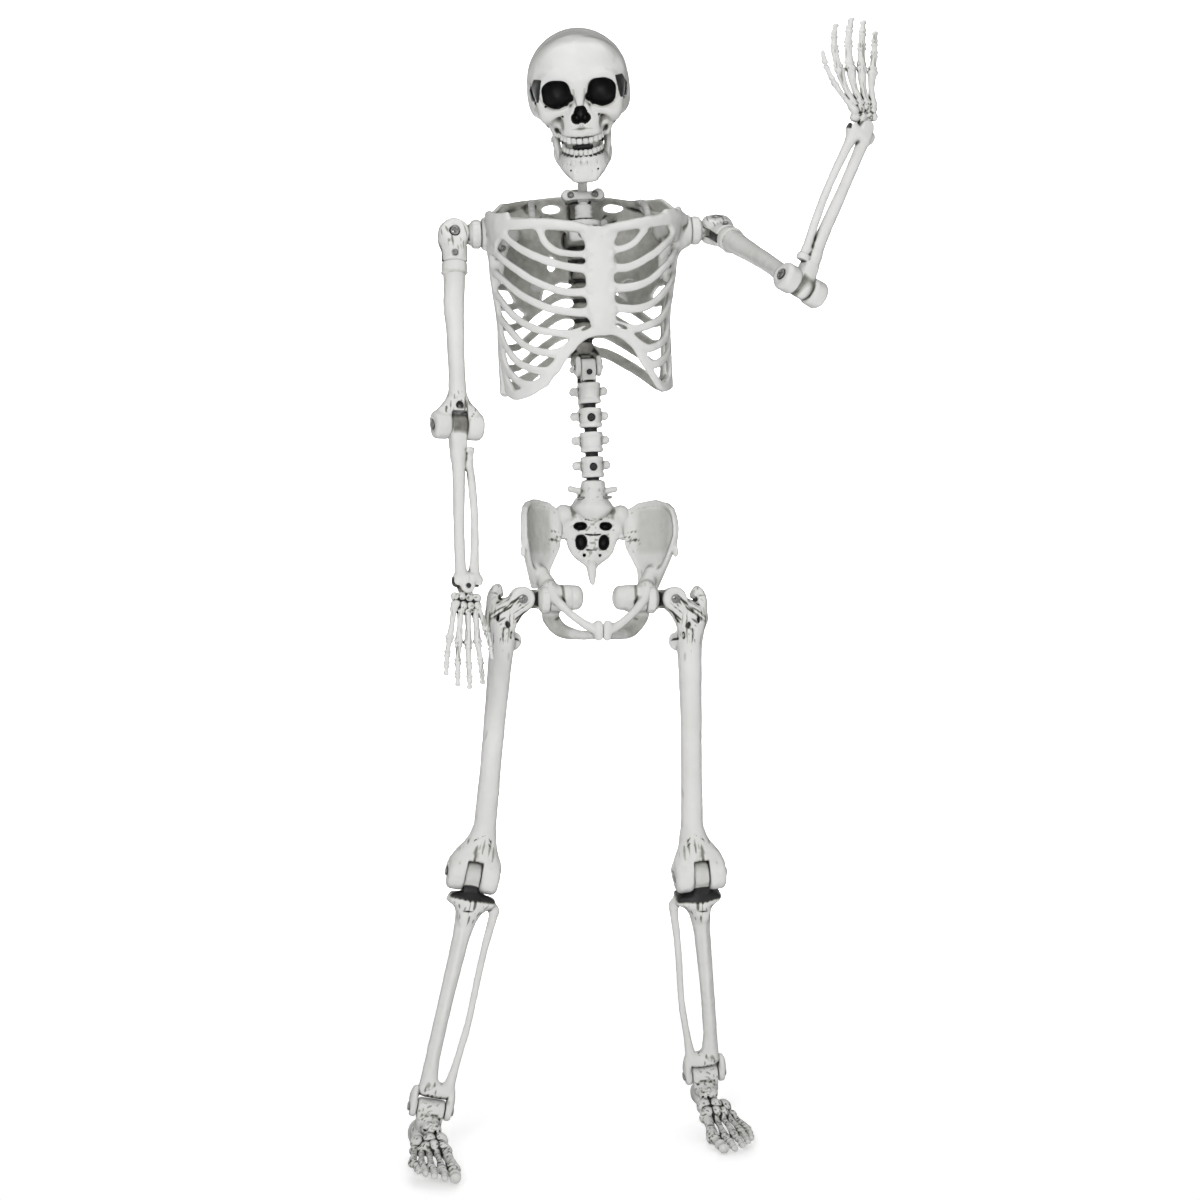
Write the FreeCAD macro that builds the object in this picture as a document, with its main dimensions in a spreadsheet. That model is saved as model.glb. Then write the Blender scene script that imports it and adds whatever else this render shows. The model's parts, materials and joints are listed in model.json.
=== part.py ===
import FreeCAD, Part
import os
from FreeCAD import Vector, Placement, Rotation

# Life-size posable halloween skeleton: +Z up, -Y front, the figure's left is +X.
# Every bone is built in the frame of its own joint (origin on the joint axis,
# bone running down -Z, front -Y) and placed into the standing pose. The chest is
# built at its standing height. Lengths are millimetres, angles degrees.

SIZES = dict(
    # head
    skull_radius=73.0, skull_stretch=40.0, skull_wall=3.5,
    face_width=84.0, maxilla_width=58.0, eye_radius=17.5,
    eye_spacing=62.0, nose_radius=10.0,
    jaw_thick=6.0, jaw_gap=70.0, jaw_pivot_radius=9.0, jaw_pin_radius=4.0,
    stem_radius=7.0, stem_width=16.0, nod_pin_radius=4.0,
    loop_radius=9.0, loop_wire=2.0,
    # neck
    clamp_width=63.0, clamp_height=20.0, clamp_depth=28.0,
    neck_radius=14.0, collar_radius=25.0, turn_radius=7.0,
    # chest
    chest_radius=86.0, chest_half_gap=44.0, chest_wall=6.0,
    chest_bottom=1092.0, chest_height=226.0,
    sternum_width=30.0, column_width=28.0, rib_gap=15.0,
    socket_radius=24.0, socket_face=155.0, shoulder_z=1334.0, split_y=10.0,
    # leans, small hardware and clearances
    torso_lean=2.5, loop_lean=50.0,
    screw_radius=2.5, screw_head=4.5, running_gap=0.05, side_gap=0.4,
    # spine
    vertebra_radius=14.5, vertebra_height=24.0, spine_core=10.0, spine_y=50.0,
    bend_z=1141.0, twist_radius=9.0, bend_pin_radius=4.0,
    # pelvis
    cup_radius=22.0, hip_z=797.0, hip_face=71.0, blade_thick=8.0, ramus_radius=8.0,
    # shoulder and arm
    knuckle_radius=22.0, spigot_radius=10.0, spigot_flange=15.0, tongue_thick=12.0,
    arm_hinge=39.0, arm_lobe=20.0, bolt_radius=4.0, twist_spigot=8.0,
    humerus_length=284.0, humerus_radius=14.0, elbow_width=76.0, elbow_radius=20.0,
    elbow_tongue=22.0,
    forearm_length=238.0, ulna_radius=8.5, radius_radius=6.5, wrist_width=44.0,
    wrist_radius=10.0, finger_radius=4.6,
    # leg
    leg_hinge=41.0, leg_lobe=17.0, femur_length=405.0, femur_radius=15.0,
    knee_width=76.0, knee_radius=25.0, knee_tongue=22.0, knee_bolt=5.0,
    shin_length=342.0, tibia_radius=10.0, fibula_radius=4.8, ankle_width=58.0,
    ankle_radius=14.0, ankle_tongue=40.0, ankle_height=64.0, foot_length=215.0,
    # standing pose
    base_x=-32.016, base_y=51.312, base_z=12.636,
    neck_turn=-8.0,
    arm_r_swing=8.4, arm_r_spread=2.1, arm_r_twist=-15.0, arm_r_bend=5.6,
    arm_l_swing=64.2, arm_l_spread=12.5, arm_l_twist=31.9, arm_l_bend=108.6,
    wrist_r_tilt=-4.0, wrist_l_tilt=27.0,
    leg_r_swing=0.0, leg_r_spread=10.2, knee_r_bend=0.0, ankle_r_bend=0.0,
    leg_l_swing=1.0, leg_l_spread=5.4, knee_l_bend=21.0, ankle_l_bend=-12.0,
)

ARITHMETIC = {"+": lambda a, b: a + b, "-": lambda a, b: a - b,
              "*": lambda a, b: a * b, "/": lambda a, b: a / b}


def value(number):
    return number.value if isinstance(number, Length) else float(number)


def text(number):
    return number.text if isinstance(number, Length) else "%g" % number


def combine(left, sign, right):
    return Length("(%s %s %s)" % (text(left), sign, text(right)),
                  ARITHMETIC[sign](value(left), value(right)))


class Length:
    """A length made of sheet cells: the text of its expression and its value now."""

    def __init__(self, text, value):
        self.text = text
        self.value = float(value)

    def __add__(self, other):
        return combine(self, "+", other)

    def __radd__(self, other):
        return combine(other, "+", self)

    def __sub__(self, other):
        return combine(self, "-", other)

    def __rsub__(self, other):
        return combine(other, "-", self)

    def __mul__(self, other):
        return combine(self, "*", other)

    def __rmul__(self, other):
        return combine(other, "*", self)

    def __truediv__(self, other):
        return combine(self, "/", other)

    def __neg__(self):
        return combine(0, "-", self)


class Sizes:
    """The driving dimensions, each one a Length."""


doc = FreeCAD.newDocument("Skeleton")
sheet = doc.addObject("Spreadsheet::Sheet", "Sizes")
for row, (alias, number) in enumerate(SIZES.items(), start=1):
    sheet.set("A%d" % row, alias)
    sheet.set("B%d" % row, "%.3f" % number)
    sheet.setAlias("B%d" % row, alias)
    setattr(Sizes, alias, Length("Sizes." + alias, number))
doc.recompute()

# ---------------------------------------------------------------- modelling helpers
BOTH = (-1, 1)                          # right, left
SIDES = ((-1, "right"), (1, "left"))
DIRECTION = {"x": Vector(1, 0, 0), "y": Vector(0, 1, 0), "z": Vector(0, 0, 1)}
# turns a solid that stands along +Z so that it lies along the named axis
ALONG = {"x": Rotation(Vector(0, 1, 0), 90), "y": Rotation(Vector(1, 0, 0), -90),
         "z": Rotation()}


def add(kind, at=(0, 0, 0), rotation=None, **properties):
    """Add a primitive, binding every Length to the sheet."""
    primitive = doc.addObject(kind, "Primitive")
    for name, number in properties.items():
        setattr(primitive, name, value(number))
        if isinstance(number, Length):
            primitive.setExpression(name, number.text)
    primitive.Placement = Placement(Vector(*map(value, at)), rotation or Rotation())
    for axis, number in zip("xyz", at):
        if isinstance(number, Length):
            primitive.setExpression(".Placement.Base." + axis, number.text)
    return primitive


def cylinder(axis, radius, length, at=(0, 0), start=None):
    """Cylinder along +axis from start, or centred on zero without one.
    at holds the other two coordinates."""
    if start is None:
        start = -(length / 2.0)
    first, second = at
    place = {"x": (start, first, second), "y": (first, start, second),
             "z": (first, second, start)}[axis]
    return add("Part::Cylinder", place, ALONG[axis], Radius=radius, Height=length)


def bore(axis, radius, length, at=(0, 0), start=None):
    """Cutter for a hole in which a bar of this radius turns freely."""
    return cylinder(axis, radius + Sizes.running_gap, length, at, start)


def block(x0, y0, z0, width, depth, height):
    return add("Part::Box", (x0, y0, z0), Length=width, Width=depth, Height=height)


def slab(y, z0, width, depth, height):
    """Block centred on x = 0 and on y, standing on z0."""
    return block(-(width / 2.0), y - depth / 2.0, z0, width, depth, height)


def mirrored(side, near, length):
    """Lowest x of a run from near to near + length, mirrored for the right side."""
    return near if side > 0 else -(near + length)


def side_cylinder(side, radius, near, length, at=(0, 0)):
    return cylinder("x", radius, length, at, mirrored(side, near, length))


def side_block(side, near, y0, z0, width, depth, height):
    return block(mirrored(side, near, width), y0, z0, width, depth, height)


def rod(start, end, radius, end_radius=None):
    """Straight round bar, tapering when it has an end radius."""
    run = Vector(*map(value, end)) - Vector(*map(value, start))
    rotation = Rotation(Vector(0, 0, 1), run)
    if end_radius is None:
        return add("Part::Cylinder", start, rotation, Radius=radius, Height=run.Length)
    return add("Part::Cone", start, rotation,
               Radius1=radius, Radius2=end_radius, Height=run.Length)


def fuse(*shapes):
    joined = doc.addObject("Part::MultiFuse", "Joined")
    joined.Shapes = list(shapes)
    joined.Refine = False
    return joined


def fuse_in_turn(shapes):
    """Join one at a time, for bodies whose curved walls graze each other."""
    joined = shapes[0]
    for shape in shapes[1:]:
        step = doc.addObject("Part::Fuse", "Step")
        step.Base = joined
        step.Tool = shape
        step.Refine = False
        joined = step
    return joined


def cut(base, *tools):
    result = doc.addObject("Part::Cut", "Cut")
    result.Base = base
    result.Tool = tools[0] if len(tools) == 1 else fuse(*tools)
    return result


def common(base, tool):
    result = doc.addObject("Part::Common", "Common")
    result.Base = base
    result.Tool = tool
    return result


def stepped(axis, places, *steps):
    """Stepped round bars at each place; a step is (radius, start, length)."""
    return fuse(*[cylinder(axis, radius, length, at, start)
                  for radius, start, length in steps for at in places])


def ring_groove(outer, inner, start):
    """Ring-shaped cutter around Z."""
    return cut(cylinder("z", outer, 6.4, start=start),
               cylinder("z", inner, 9.0, start=start - 1.0))


def keep_half(front, z0, height):
    """Everything in front of, or behind, the plane y = 0."""
    return block(-60.0, -60.0 if front else 0.0, z0, 120.0, 60.0, height)


pieces = []


def piece(shape, label, frame):
    """Label a finished piece and place it in the pose."""
    shape.Label = label
    if shape.TypeId == "Part::Cylinder":
        # a bare pin keeps its own place within the frame
        for axis in "xyz":
            shape.setExpression(".Placement.Base." + axis, None)
        shape.Placement = frame * shape.Placement
    else:
        shape.Placement = frame
    pieces.append(shape)


def shift(x, y, z):
    return Placement(Vector(value(x), value(y), value(z)), Rotation())


def turn(axis, angle):
    return Placement(Vector(), Rotation(DIRECTION[axis], value(angle)))


# ---------------------------------------------------------------- body frames
SPINE_DROP = 171.0                      # bend pin down to the foot of the lumbar core
SACRUM_Z = Sizes.bend_z - SPINE_DROP - 2.0
SACRUM_TOP = shift(0, Sizes.spine_y, SACRUM_Z)
# the spine, chest, head and arms lean sideways on the pelvis, about the top of the sacrum
LEAN = turn("y", -Sizes.torso_lean)
STANCE = shift(Sizes.base_x, Sizes.base_y, Sizes.base_z)
PELVIS = STANCE * SACRUM_TOP
TORSO = PELVIS * LEAN * SACRUM_TOP.inverse()

# ---------------------------------------------------------------- chest
NECK_Y = 28.0
SHOULDER_AT = (Sizes.split_y, Sizes.shoulder_z)                             # y, z
BEND_AT = (Sizes.spine_y, Sizes.bend_z)                                     # y, z
CHEST_SCREWS = [(128.0, 1106.0), (-128.0, 1106.0), (126.0, 1309.0), (-126.0, 1309.0)]  # x, z
WINDOW_NEAR, WINDOW_WIDTH = 16.0, 132.0
WINDOW_RISE, WINDOW_PITCH = 18.0, 29.0  # first row above the chest bottom, row to row
SOCKET_DEPTH = 45.0
LUG_THICK = 8.0


def stadium(radius):
    """Upright body with a rounded oblong outline."""
    half_gap, bottom, height = Sizes.chest_half_gap, Sizes.chest_bottom, Sizes.chest_height
    return fuse(cylinder("z", radius, height, (half_gap, 0), bottom),
                cylinder("z", radius, height, (-half_gap, 0), bottom),
                block(-half_gap, -radius, bottom, 2 * half_gap, 2 * radius, height))


def chest_shell(window_y, window_depth, rows):
    """Hollow chest with rows of windows that leave the ribs standing."""
    shell = cut(stadium(Sizes.chest_radius), stadium(Sizes.chest_radius - Sizes.chest_wall))
    windows = [side_block(side, WINDOW_NEAR, window_y,
                          Sizes.chest_bottom + WINDOW_RISE + row * WINDOW_PITCH,
                          WINDOW_WIDTH, window_depth, Sizes.rib_gap)
               for row in range(rows) for side in BOTH]
    return cut(shell, *windows)


def chest_joints():
    """Shoulder sockets and screw bosses, shared by both halves."""
    sockets = [side_cylinder(side, Sizes.socket_radius, Sizes.socket_face - SOCKET_DEPTH,
                             SOCKET_DEPTH, SHOULDER_AT) for side in (1, -1)]
    return sockets + [cylinder("y", 8.0, 48.0, at, -14.0) for at in CHEST_SCREWS]


def socket_bores(side, face, at):
    """Cutters for the spigot and flange of a knuckle behind a socket face."""
    return [side_cylinder(side, Sizes.spigot_radius + Sizes.running_gap,
                          face - 30.0, 31.0, at),
            side_cylinder(side, Sizes.spigot_flange + 0.3, face - 24.0, 12.0, at)]


def chest_half(solid, start_y, *more_bores):
    """Trim the chest to 200 mm of depth from start_y and bore it."""
    half = common(solid, block(-300.0, start_y, 1000.0, 600.0, 200.0, 450.0))
    bores = [tool for side in BOTH
             for tool in socket_bores(side, Sizes.socket_face, SHOULDER_AT)]
    bores += [bore("y", Sizes.screw_radius, 80.0, at, -30.0) for at in CHEST_SCREWS]
    bores += [cylinder("y", Sizes.screw_head + 0.6, 15.9, at, -30.0) for at in CHEST_SCREWS]
    return cut(half, *bores, *more_bores)


def ribcage_front():
    parts = [chest_shell(-100.0, 96.0, 7),
             slab(-88.0, 1186.0, Sizes.sternum_width, 10.0, 165.0)]
    for side in BOTH:
        # collarbone, then the sloping lower edge of the ribs
        parts += [rod((side * 8.0, -83.0, 1341.0), (side * 138.0, -1.0, 1337.0), 8.0),
                  rod((side * 9.0, -86.0, 1198.0), (side * 68.0, -74.0, 1110.0), 7.3)]
    return chest_half(fuse_in_turn(parts + chest_joints()), Sizes.split_y - 200.0)


def ribcage_rear():
    parts = [chest_shell(22.0, 90.0, 6),
             slab(84.0, Sizes.chest_bottom, Sizes.column_width, 22.0, 252.0),
             slab(NECK_Y + 26.0, 1320.0, 50.0, 84.0, 24.0)]     # seat of the neck post
    for side in BOTH:
        # shoulder blade, bar from the seat to the socket, lug of the waist hinge
        parts += [side_block(side, 35.0, 74.0, 1215.0, 70.0, 14.0, 100.0),
                  rod((side * 20.0, 66.0, 1334.0), (side * 126.0, 24.0, 1336.0), 9.0),
                  side_block(side, Sizes.elbow_tongue / 2.0 + Sizes.side_gap,
                             Sizes.spine_y - 14.0, Sizes.bend_z - 14.0,
                             LUG_THICK, 42.0, 30.0)]
    return chest_half(fuse(*(parts + chest_joints())), Sizes.split_y,
                      bore("x", Sizes.bend_pin_radius, 80.0, BEND_AT),
                      bore("z", Sizes.neck_radius, 60.0, (0, NECK_Y), 1300.0))


def neck_post():
    """Tube standing in the seat of the rear shell, bored for the turning spigot."""
    at = (0, NECK_Y)
    return cut(fuse(cylinder("z", Sizes.neck_radius, 55.0, at, 1322.0),
                    cylinder("z", Sizes.collar_radius, 8.0, at, 1344.2)),
               bore("z", Sizes.turn_radius, 50.0, at, 1336.0))


piece(ribcage_front(), "ribcage_front", TORSO)
piece(ribcage_rear(), "ribcage_rear", TORSO)
piece(stepped("y", CHEST_SCREWS, (Sizes.screw_radius, -13.0, 46.0),
              (Sizes.screw_head, -17.0, 2.9), (Sizes.screw_radius, -14.2, 2.0)),
      "ribcage_screws", TORSO)
piece(cylinder("x", Sizes.bend_pin_radius, 44.0, BEND_AT), "waist_bend_pin", TORSO)
piece(neck_post(), "neck_post", TORSO)

# ---------------------------------------------------------------- neck clamp
# turns about Z; origin on the nod axis
NOD_Z = 1389.0
NECK = TORSO * shift(0, NECK_Y, NOD_Z) * turn("z", Sizes.neck_turn)
CLAMP_SCREWS = [(-17.5, -7.2), (17.5, -7.2)]    # x, z


def neck_clamp(front):
    width, height, depth = Sizes.clamp_width, Sizes.clamp_height, Sizes.clamp_depth
    ends = [cylinder("y", height / 2.0, depth, (side * (width / 2.0 - 10.0), -1.0))
            for side in (1, -1)]
    body = fuse(*ends,
                slab(0, 1.0 - height / 2.0, width - 20.0, depth, height - 4.0),
                cylinder("z", Sizes.turn_radius, 44.0, start=-50.0))
    stem_slot = slab(0, -8.3, Sizes.stem_width + 2 * Sizes.side_gap, 80.0, 40.0)
    return cut(common(body, keep_half(front, -80.0, 160.0)),
               bore("x", Sizes.nod_pin_radius, 48.0), stem_slot,
               *[bore("y", Sizes.screw_radius, 60.0, at) for at in CLAMP_SCREWS])


piece(neck_clamp(True), "neck_clamp_front", NECK)
piece(neck_clamp(False), "neck_clamp_rear", NECK)
piece(stepped("y", CLAMP_SCREWS, (Sizes.screw_radius, -14.4, 27.0),
              (Sizes.screw_radius + 1.2, -17.0, 2.8)), "neck_clamp_screws", NECK)
piece(cylinder("x", Sizes.nod_pin_radius, 47.0), "nod_pin", NECK)

# ---------------------------------------------------------------- skull
# the cranium's frame leans 18 degrees forward of the neck
CRANIUM = NECK * shift(0, -29.0, 157.0) * turn("x", 18.0)
BALL_Z = 4.0                            # height of the two ball centres
SKULL_SEAM_Y = 12.0
KEEP_DEPTH = 162.0                      # reaches past either end of the skull
JAW_Z = -76.0                           # jaw pivot
STEM_HEIGHT = 108.0


def capsule(radius):
    reach = Sizes.skull_stretch / 2.0
    return fuse(add("Part::Sphere", (0, -reach, BALL_Z), Radius=radius),
                add("Part::Sphere", (0, reach, BALL_Z), Radius=radius),
                cylinder("y", radius, Sizes.skull_stretch, (0, BALL_Z)))


def skull_half(front):
    outer = [capsule(Sizes.skull_radius)]
    if front:
        outer += [slab(-60.0, -62.0, Sizes.face_width, 50.0, 62.0),
                  slab(-62.0, -101.0, Sizes.maxilla_width, 48.0, 60.0)]
        # cheekbones
        outer += [rod((side * 44.0, -70.0, -44.0), (side * 62.0, 4.0, -30.0), 5.5)
                  for side in BOTH]
    # cheeks of the jaw pivot
    outer += [side_block(side, 28.0, -9.0, -86.0, 6.6, 18.0, 50.0) for side in BOTH]
    keep_y = SKULL_SEAM_Y - KEEP_DEPTH if front else SKULL_SEAM_Y
    body = common(cut(fuse(*outer), capsule(Sizes.skull_radius - Sizes.skull_wall)),
                  block(-120.0, keep_y, -140.0, 240.0, KEEP_DEPTH, 260.0))
    tools = [block(-22.0, -38.0, -120.0, 44.0, 70.0, 80.0)]     # opening in the base
    if front:
        tools.append(slab(-62.0, -96.0, Sizes.maxilla_width - 10.0, 36.0, 70.0))
        tools += [cylinder("y", Sizes.eye_radius, 80.0,
                           (side * (Sizes.eye_spacing / 2.0), -6.0), -120.0)
                  for side in BOTH]
        tools += [cylinder("y", Sizes.nose_radius, 60.0, (0, -37.0), -120.0),
                  bore("x", Sizes.jaw_pin_radius, 120.0, (0, JAW_Z))]
    return cut(body, *tools)


def skull_stem():
    """Foot on the nod pin, standing up into the skull base."""
    stem = fuse(cylinder("x", 8.0, Sizes.stem_width),
                cylinder("z", Sizes.stem_radius, STEM_HEIGHT, start=0.0),
                slab(0, STEM_HEIGHT - 12.0, 40.0, 26.0, 12.0))
    return cut(stem, bore("x", Sizes.nod_pin_radius, 40.0))


def hanging_loop():
    ring = add("Part::Torus", (0, 0, Sizes.loop_radius + 3.0), Rotation(Vector(1, 0, 0), 90),
               Radius1=Sizes.loop_radius, Radius2=Sizes.loop_wire)
    return fuse(ring, cylinder("z", 5.0, 3.2, start=0.3))


piece(skull_half(True), "skull_front", CRANIUM)
piece(skull_half(False), "skull_rear", CRANIUM)
piece(skull_stem(), "skull_stem", NECK)
# high on the back of the crown
piece(hanging_loop(), "hanging_loop",
      CRANIUM * shift(0, Sizes.skull_stretch / 2.0, BALL_Z)
      * turn("x", -Sizes.loop_lean) * shift(0, 0, Sizes.skull_radius))

# ---------------------------------------------------------------- jaw
# opens about X through the jaw pins
JAW = CRANIUM * shift(0, 0, JAW_Z)


def jaw():
    thick, near = Sizes.jaw_thick, Sizes.jaw_gap / 2.0
    parts = []
    for side in BOTH:
        parts += [side_cylinder(side, Sizes.jaw_pivot_radius, near, thick),
                  side_block(side, near, -12.0, -50.0, thick, 20.0, 48.0),
                  side_block(side, near, -70.0, -56.0, thick, 70.0, 22.0)]
    # chin, then the lower teeth
    parts += [slab(-72.0, -62.0, Sizes.jaw_gap + 2 * thick, 10.0, 30.0),
              slab(-71.0, -33.0, Sizes.maxilla_width - 4.0, 8.0, 6.0)]
    return cut(fuse(*parts), bore("x", Sizes.jaw_pin_radius, 120.0))


piece(jaw(), "jaw", JAW)
piece(fuse(*[side_cylinder(side, Sizes.jaw_pin_radius, 27.0, 16.5) for side in BOTH]),
      "jaw_pins", JAW)

# ---------------------------------------------------------------- lumbar spine
# bends about X; origin on the bend pin
LUMBAR = TORSO * shift(0, Sizes.spine_y, Sizes.bend_z)
LUMBAR_SCREWS = [(0, -38.0), (0, -92.0), (0, -146.0)]   # x, z
VERTEBRAE = 5
TOP_VERTEBRA_Z, VERTEBRA_PITCH = -50.0, 29.7


def spine_half(front):
    tongue = Sizes.elbow_tongue
    parts = [cylinder("x", 13.0, tongue),
             slab(0, -30.0, tongue, 24.0, 30.0),
             cylinder("z", Sizes.spine_core, SPINE_DROP - 26.0, start=-SPINE_DROP),
             cylinder("z", Sizes.twist_radius, 40.0, start=-SPINE_DROP - 36.0)]
    for i in range(VERTEBRAE):
        bottom = TOP_VERTEBRA_Z - i * VERTEBRA_PITCH
        parts += [cylinder("z", Sizes.vertebra_radius, Sizes.vertebra_height, start=bottom),
                  slab(4.0, bottom + 6.0, 48.0, 10.0, 10.0)]
    half = common(fuse(*parts), keep_half(front, -240.0, 300.0))
    groove = ring_groove(Sizes.twist_radius + 3.0, Sizes.twist_radius - 3.0,
                         -SPINE_DROP - 26.0)
    return cut(half, bore("x", Sizes.bend_pin_radius, 80.0), groove,
               *[bore("y", Sizes.screw_radius, 60.0, at) for at in LUMBAR_SCREWS])


piece(spine_half(True), "spine_front", LUMBAR)
piece(spine_half(False), "spine_rear", LUMBAR)
piece(stepped("y", LUMBAR_SCREWS, (Sizes.screw_radius, -13.0, 24.0),
              (Sizes.screw_head, -17.8, 3.0), (Sizes.screw_radius, -14.9, 2.0)),
      "spine_screws", LUMBAR)

# ---------------------------------------------------------------- pelvis
# twists about Z; origin on the twist axis at the top of the sacrum
HIP_Y = -Sizes.spine_y                  # the hip axis lies on y = 0 of the body
HIP_Z = Sizes.hip_z - SACRUM_Z
HIP_AT = (HIP_Y, HIP_Z)
WAIST_PIN_RADIUS = 2.5
WAIST_PIN_AT = (-8.9, -21.2)            # y, z
PELVIS_SCREW_AT = (6.0, -53.0)          # y, z
BLADE_ANGLE = 52.0
BLADE_NEAR = 46.2                       # just outside the lower block of the sacrum


def sacrum():
    taper = add("Part::Wedge", (0, 6.0, 0), Rotation(Vector(1, 0, 0), 90),
                Xmin=-14.0, Xmax=14.0, X2min=-42.0, X2max=42.0, Ymin=-140.0, Ymax=-36.0,
                Zmin=-10.0, Zmax=10.0, Z2min=-14.0, Z2max=12.0)
    body = fuse(slab(3.0, -40.0, 46.0, 38.0, 40.0), taper,
                block(-46.0, -2.0, -66.0, 92.0, 16.0, 26.0))
    bores = fuse(bore("z", Sizes.twist_radius, 50.0, start=-38.0),
                 bore("x", WAIST_PIN_RADIUS, 80.0, WAIST_PIN_AT))
    bores.Placement = LEAN
    return cut(body, bores)


def hip_bone(side):
    blade = add("Part::Box", (side * BLADE_NEAR, 10.0, -112.0),
                Rotation(Vector(0, 0, 1), -BLADE_ANGLE if side > 0 else 180.0 + BLADE_ANGLE),
                Length=92.0, Width=Sizes.blade_thick, Height=84.0)
    parts = [blade,
             side_block(side, BLADE_NEAR, -4.0, -70.0, 20.0, 18.0, 34.0),
             # two struts down to the cup, and the cup
             rod((side * 62.0, -8.0, -70.0), (side * 54.0, HIP_Y + 6.0, HIP_Z + 6.0), 13.0),
             rod((side * 66.0, -20.0, -100.0), (side * 56.0, HIP_Y + 6.0, HIP_Z + 6.0), 13.0),
             side_cylinder(side, Sizes.cup_radius, 38.0, Sizes.hip_face - 38.0, HIP_AT),
             # upper bar to the middle, bar down from the cup, lower bar to the middle
             rod((side * 50.0, HIP_Y - 12.0, HIP_Z - 4.0),
                 (side * 8.2, HIP_Y - 44.0, HIP_Z - 40.0), Sizes.ramus_radius),
             rod((side * 54.0, HIP_Y + 8.0, HIP_Z - 8.0),
                 (side * 54.0, HIP_Y + 20.0, HIP_Z - 50.0), 10.0),
             rod((side * 54.0, HIP_Y + 18.0, HIP_Z - 48.0),
                 (side * 8.2, HIP_Y - 42.0, HIP_Z - 44.0), 7.0)]
    # stops 0.15 short of the middle plane
    keep = side_block(side, 0.15, -200.0, -400.0, 199.85, 400.0, 400.0)
    return cut(common(fuse(*parts), keep),
               slab(3.0, -41.0, 92.2, 60.0, 42.0),      # clearance for the sacrum
               slab(3.0, -67.0, 92.2, 60.0, 28.0),
               *socket_bores(side, Sizes.hip_face, HIP_AT),
               side_cylinder(side, Sizes.screw_radius + Sizes.running_gap, 40.0, 40.0,
                             PELVIS_SCREW_AT))


def pelvis_screws():
    steps = [(Sizes.screw_radius, 46.3, 21.7), (Sizes.screw_head, 66.4, 3.0)]
    return fuse(*[side_cylinder(side, radius, near, length, PELVIS_SCREW_AT)
                  for radius, near, length in steps for side in BOTH])


piece(sacrum(), "sacrum", PELVIS)
piece(cylinder("x", WAIST_PIN_RADIUS, 52.0, WAIST_PIN_AT), "waist_twist_pin", PELVIS * LEAN)
for side, name in SIDES:
    piece(hip_bone(side), "hip_bone_" + name, PELVIS)
piece(pelvis_screws(), "pelvis_screws", PELVIS)

# ---------------------------------------------------------------- shared limb parts
HALF_SLOT = Sizes.tongue_thick / 2.0 + Sizes.side_gap   # half the slot around a tongue
HINGE_BOLT_LENGTH = 40.0


def pose(joint, name, motion):
    """Pose angle of a joint on the named side."""
    return getattr(Sizes, "%s_%s_%s" % (joint, name[0], motion))


def knuckle(side, reach, lobe):
    """Spigot and flange held in a socket along X, disc outside, tongue carrying a Y hinge.
    Origin on the swing axis in the plane of the socket face."""
    thick, half_height = Sizes.tongue_thick, lobe - 5.0
    hinge = (side * reach, 0)
    body = fuse(side_cylinder(side, Sizes.spigot_radius, -26.0, 30.0),
                side_cylinder(side, Sizes.spigot_flange, -23.0, 9.5),
                side_cylinder(side, Sizes.knuckle_radius - 1.0, 0.4, 11.6),
                side_block(side, 6.0, -(thick / 2.0), -half_height,
                           reach - 6.0, thick, 2 * half_height),
                cylinder("y", half_height, thick, hinge))
    return cut(body, bore("y", Sizes.bolt_radius, 60.0, hinge))


def hinge_bolt():
    """Bolt along Y with one head, at the front."""
    radius, end = Sizes.bolt_radius, -(HINGE_BOLT_LENGTH / 2.0)
    return stepped("y", [(0, 0)], (radius, end, HINGE_BOLT_LENGTH),
                   (radius + 3.0, end - 3.4, 3.2), (radius, end - 1.0, 2.0))


def cross_bolt(joint_width, radius):
    """Bolt along X through a joint, with a head at each end."""
    length = joint_width + 0.2
    end = length / 2.0
    return stepped("x", [(0, 0)], (radius, -end, length),
                   (radius + 3.0, -end - 3.4, 3.2), (radius + 3.0, end + 0.2, 3.2),
                   (radius, -end - 1.0, length + 2.0))


# ---------------------------------------------------------------- arms
TWIST_SCREW_AT = (0, -32.0)             # x, z
WRIST_PIN_RADIUS = 3.0
FINGERTIPS = [(17.0, -122.0), (6.0, -137.0), (-6.0, -138.0), (-17.0, -128.0)]  # root x, tip z


def humeral_head():
    """Forked head of the upper arm; origin on the hinge bolt."""
    lobe = Sizes.arm_lobe
    return cut(fuse(cylinder("y", lobe, 36.0),
                    cylinder("z", lobe - 0.6, 42.0, start=-42.0)),
               slab(0, -17.0, 100.0, 2 * HALF_SLOT, 60.0),
               bore("y", Sizes.bolt_radius, 60.0),
               bore("z", Sizes.twist_spigot, 31.0, start=-50.0),
               bore("y", Sizes.screw_radius, 30.0, TWIST_SCREW_AT, -30.0))


def humerus():
    """Twist spigot in the head, shaft, and a forked elbow."""
    length, width, spigot = Sizes.humerus_length, Sizes.elbow_width, Sizes.twist_spigot
    body = fuse(cylinder("z", spigot, 38.0, start=-60.0),
                cylinder("z", Sizes.humerus_radius, length - 36.0 - 42.4,
                         start=-(length - 36.0)),
                cylinder("z", Sizes.arm_lobe - 2.0, 13.6, start=-56.0),
                cylinder("x", Sizes.elbow_radius, width, (0, -length)),
                slab(0, -(length - 6.0), width - 22.0, 28.0, 40.0))
    return cut(body, ring_groove(spigot + 2.0, spigot - 3.0, -35.2),
               slab(0, -length - 40.0, Sizes.elbow_tongue + 2 * Sizes.side_gap, 80.0, 59.0),
               bore("x", Sizes.bolt_radius, 120.0, (0, -length)))


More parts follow.
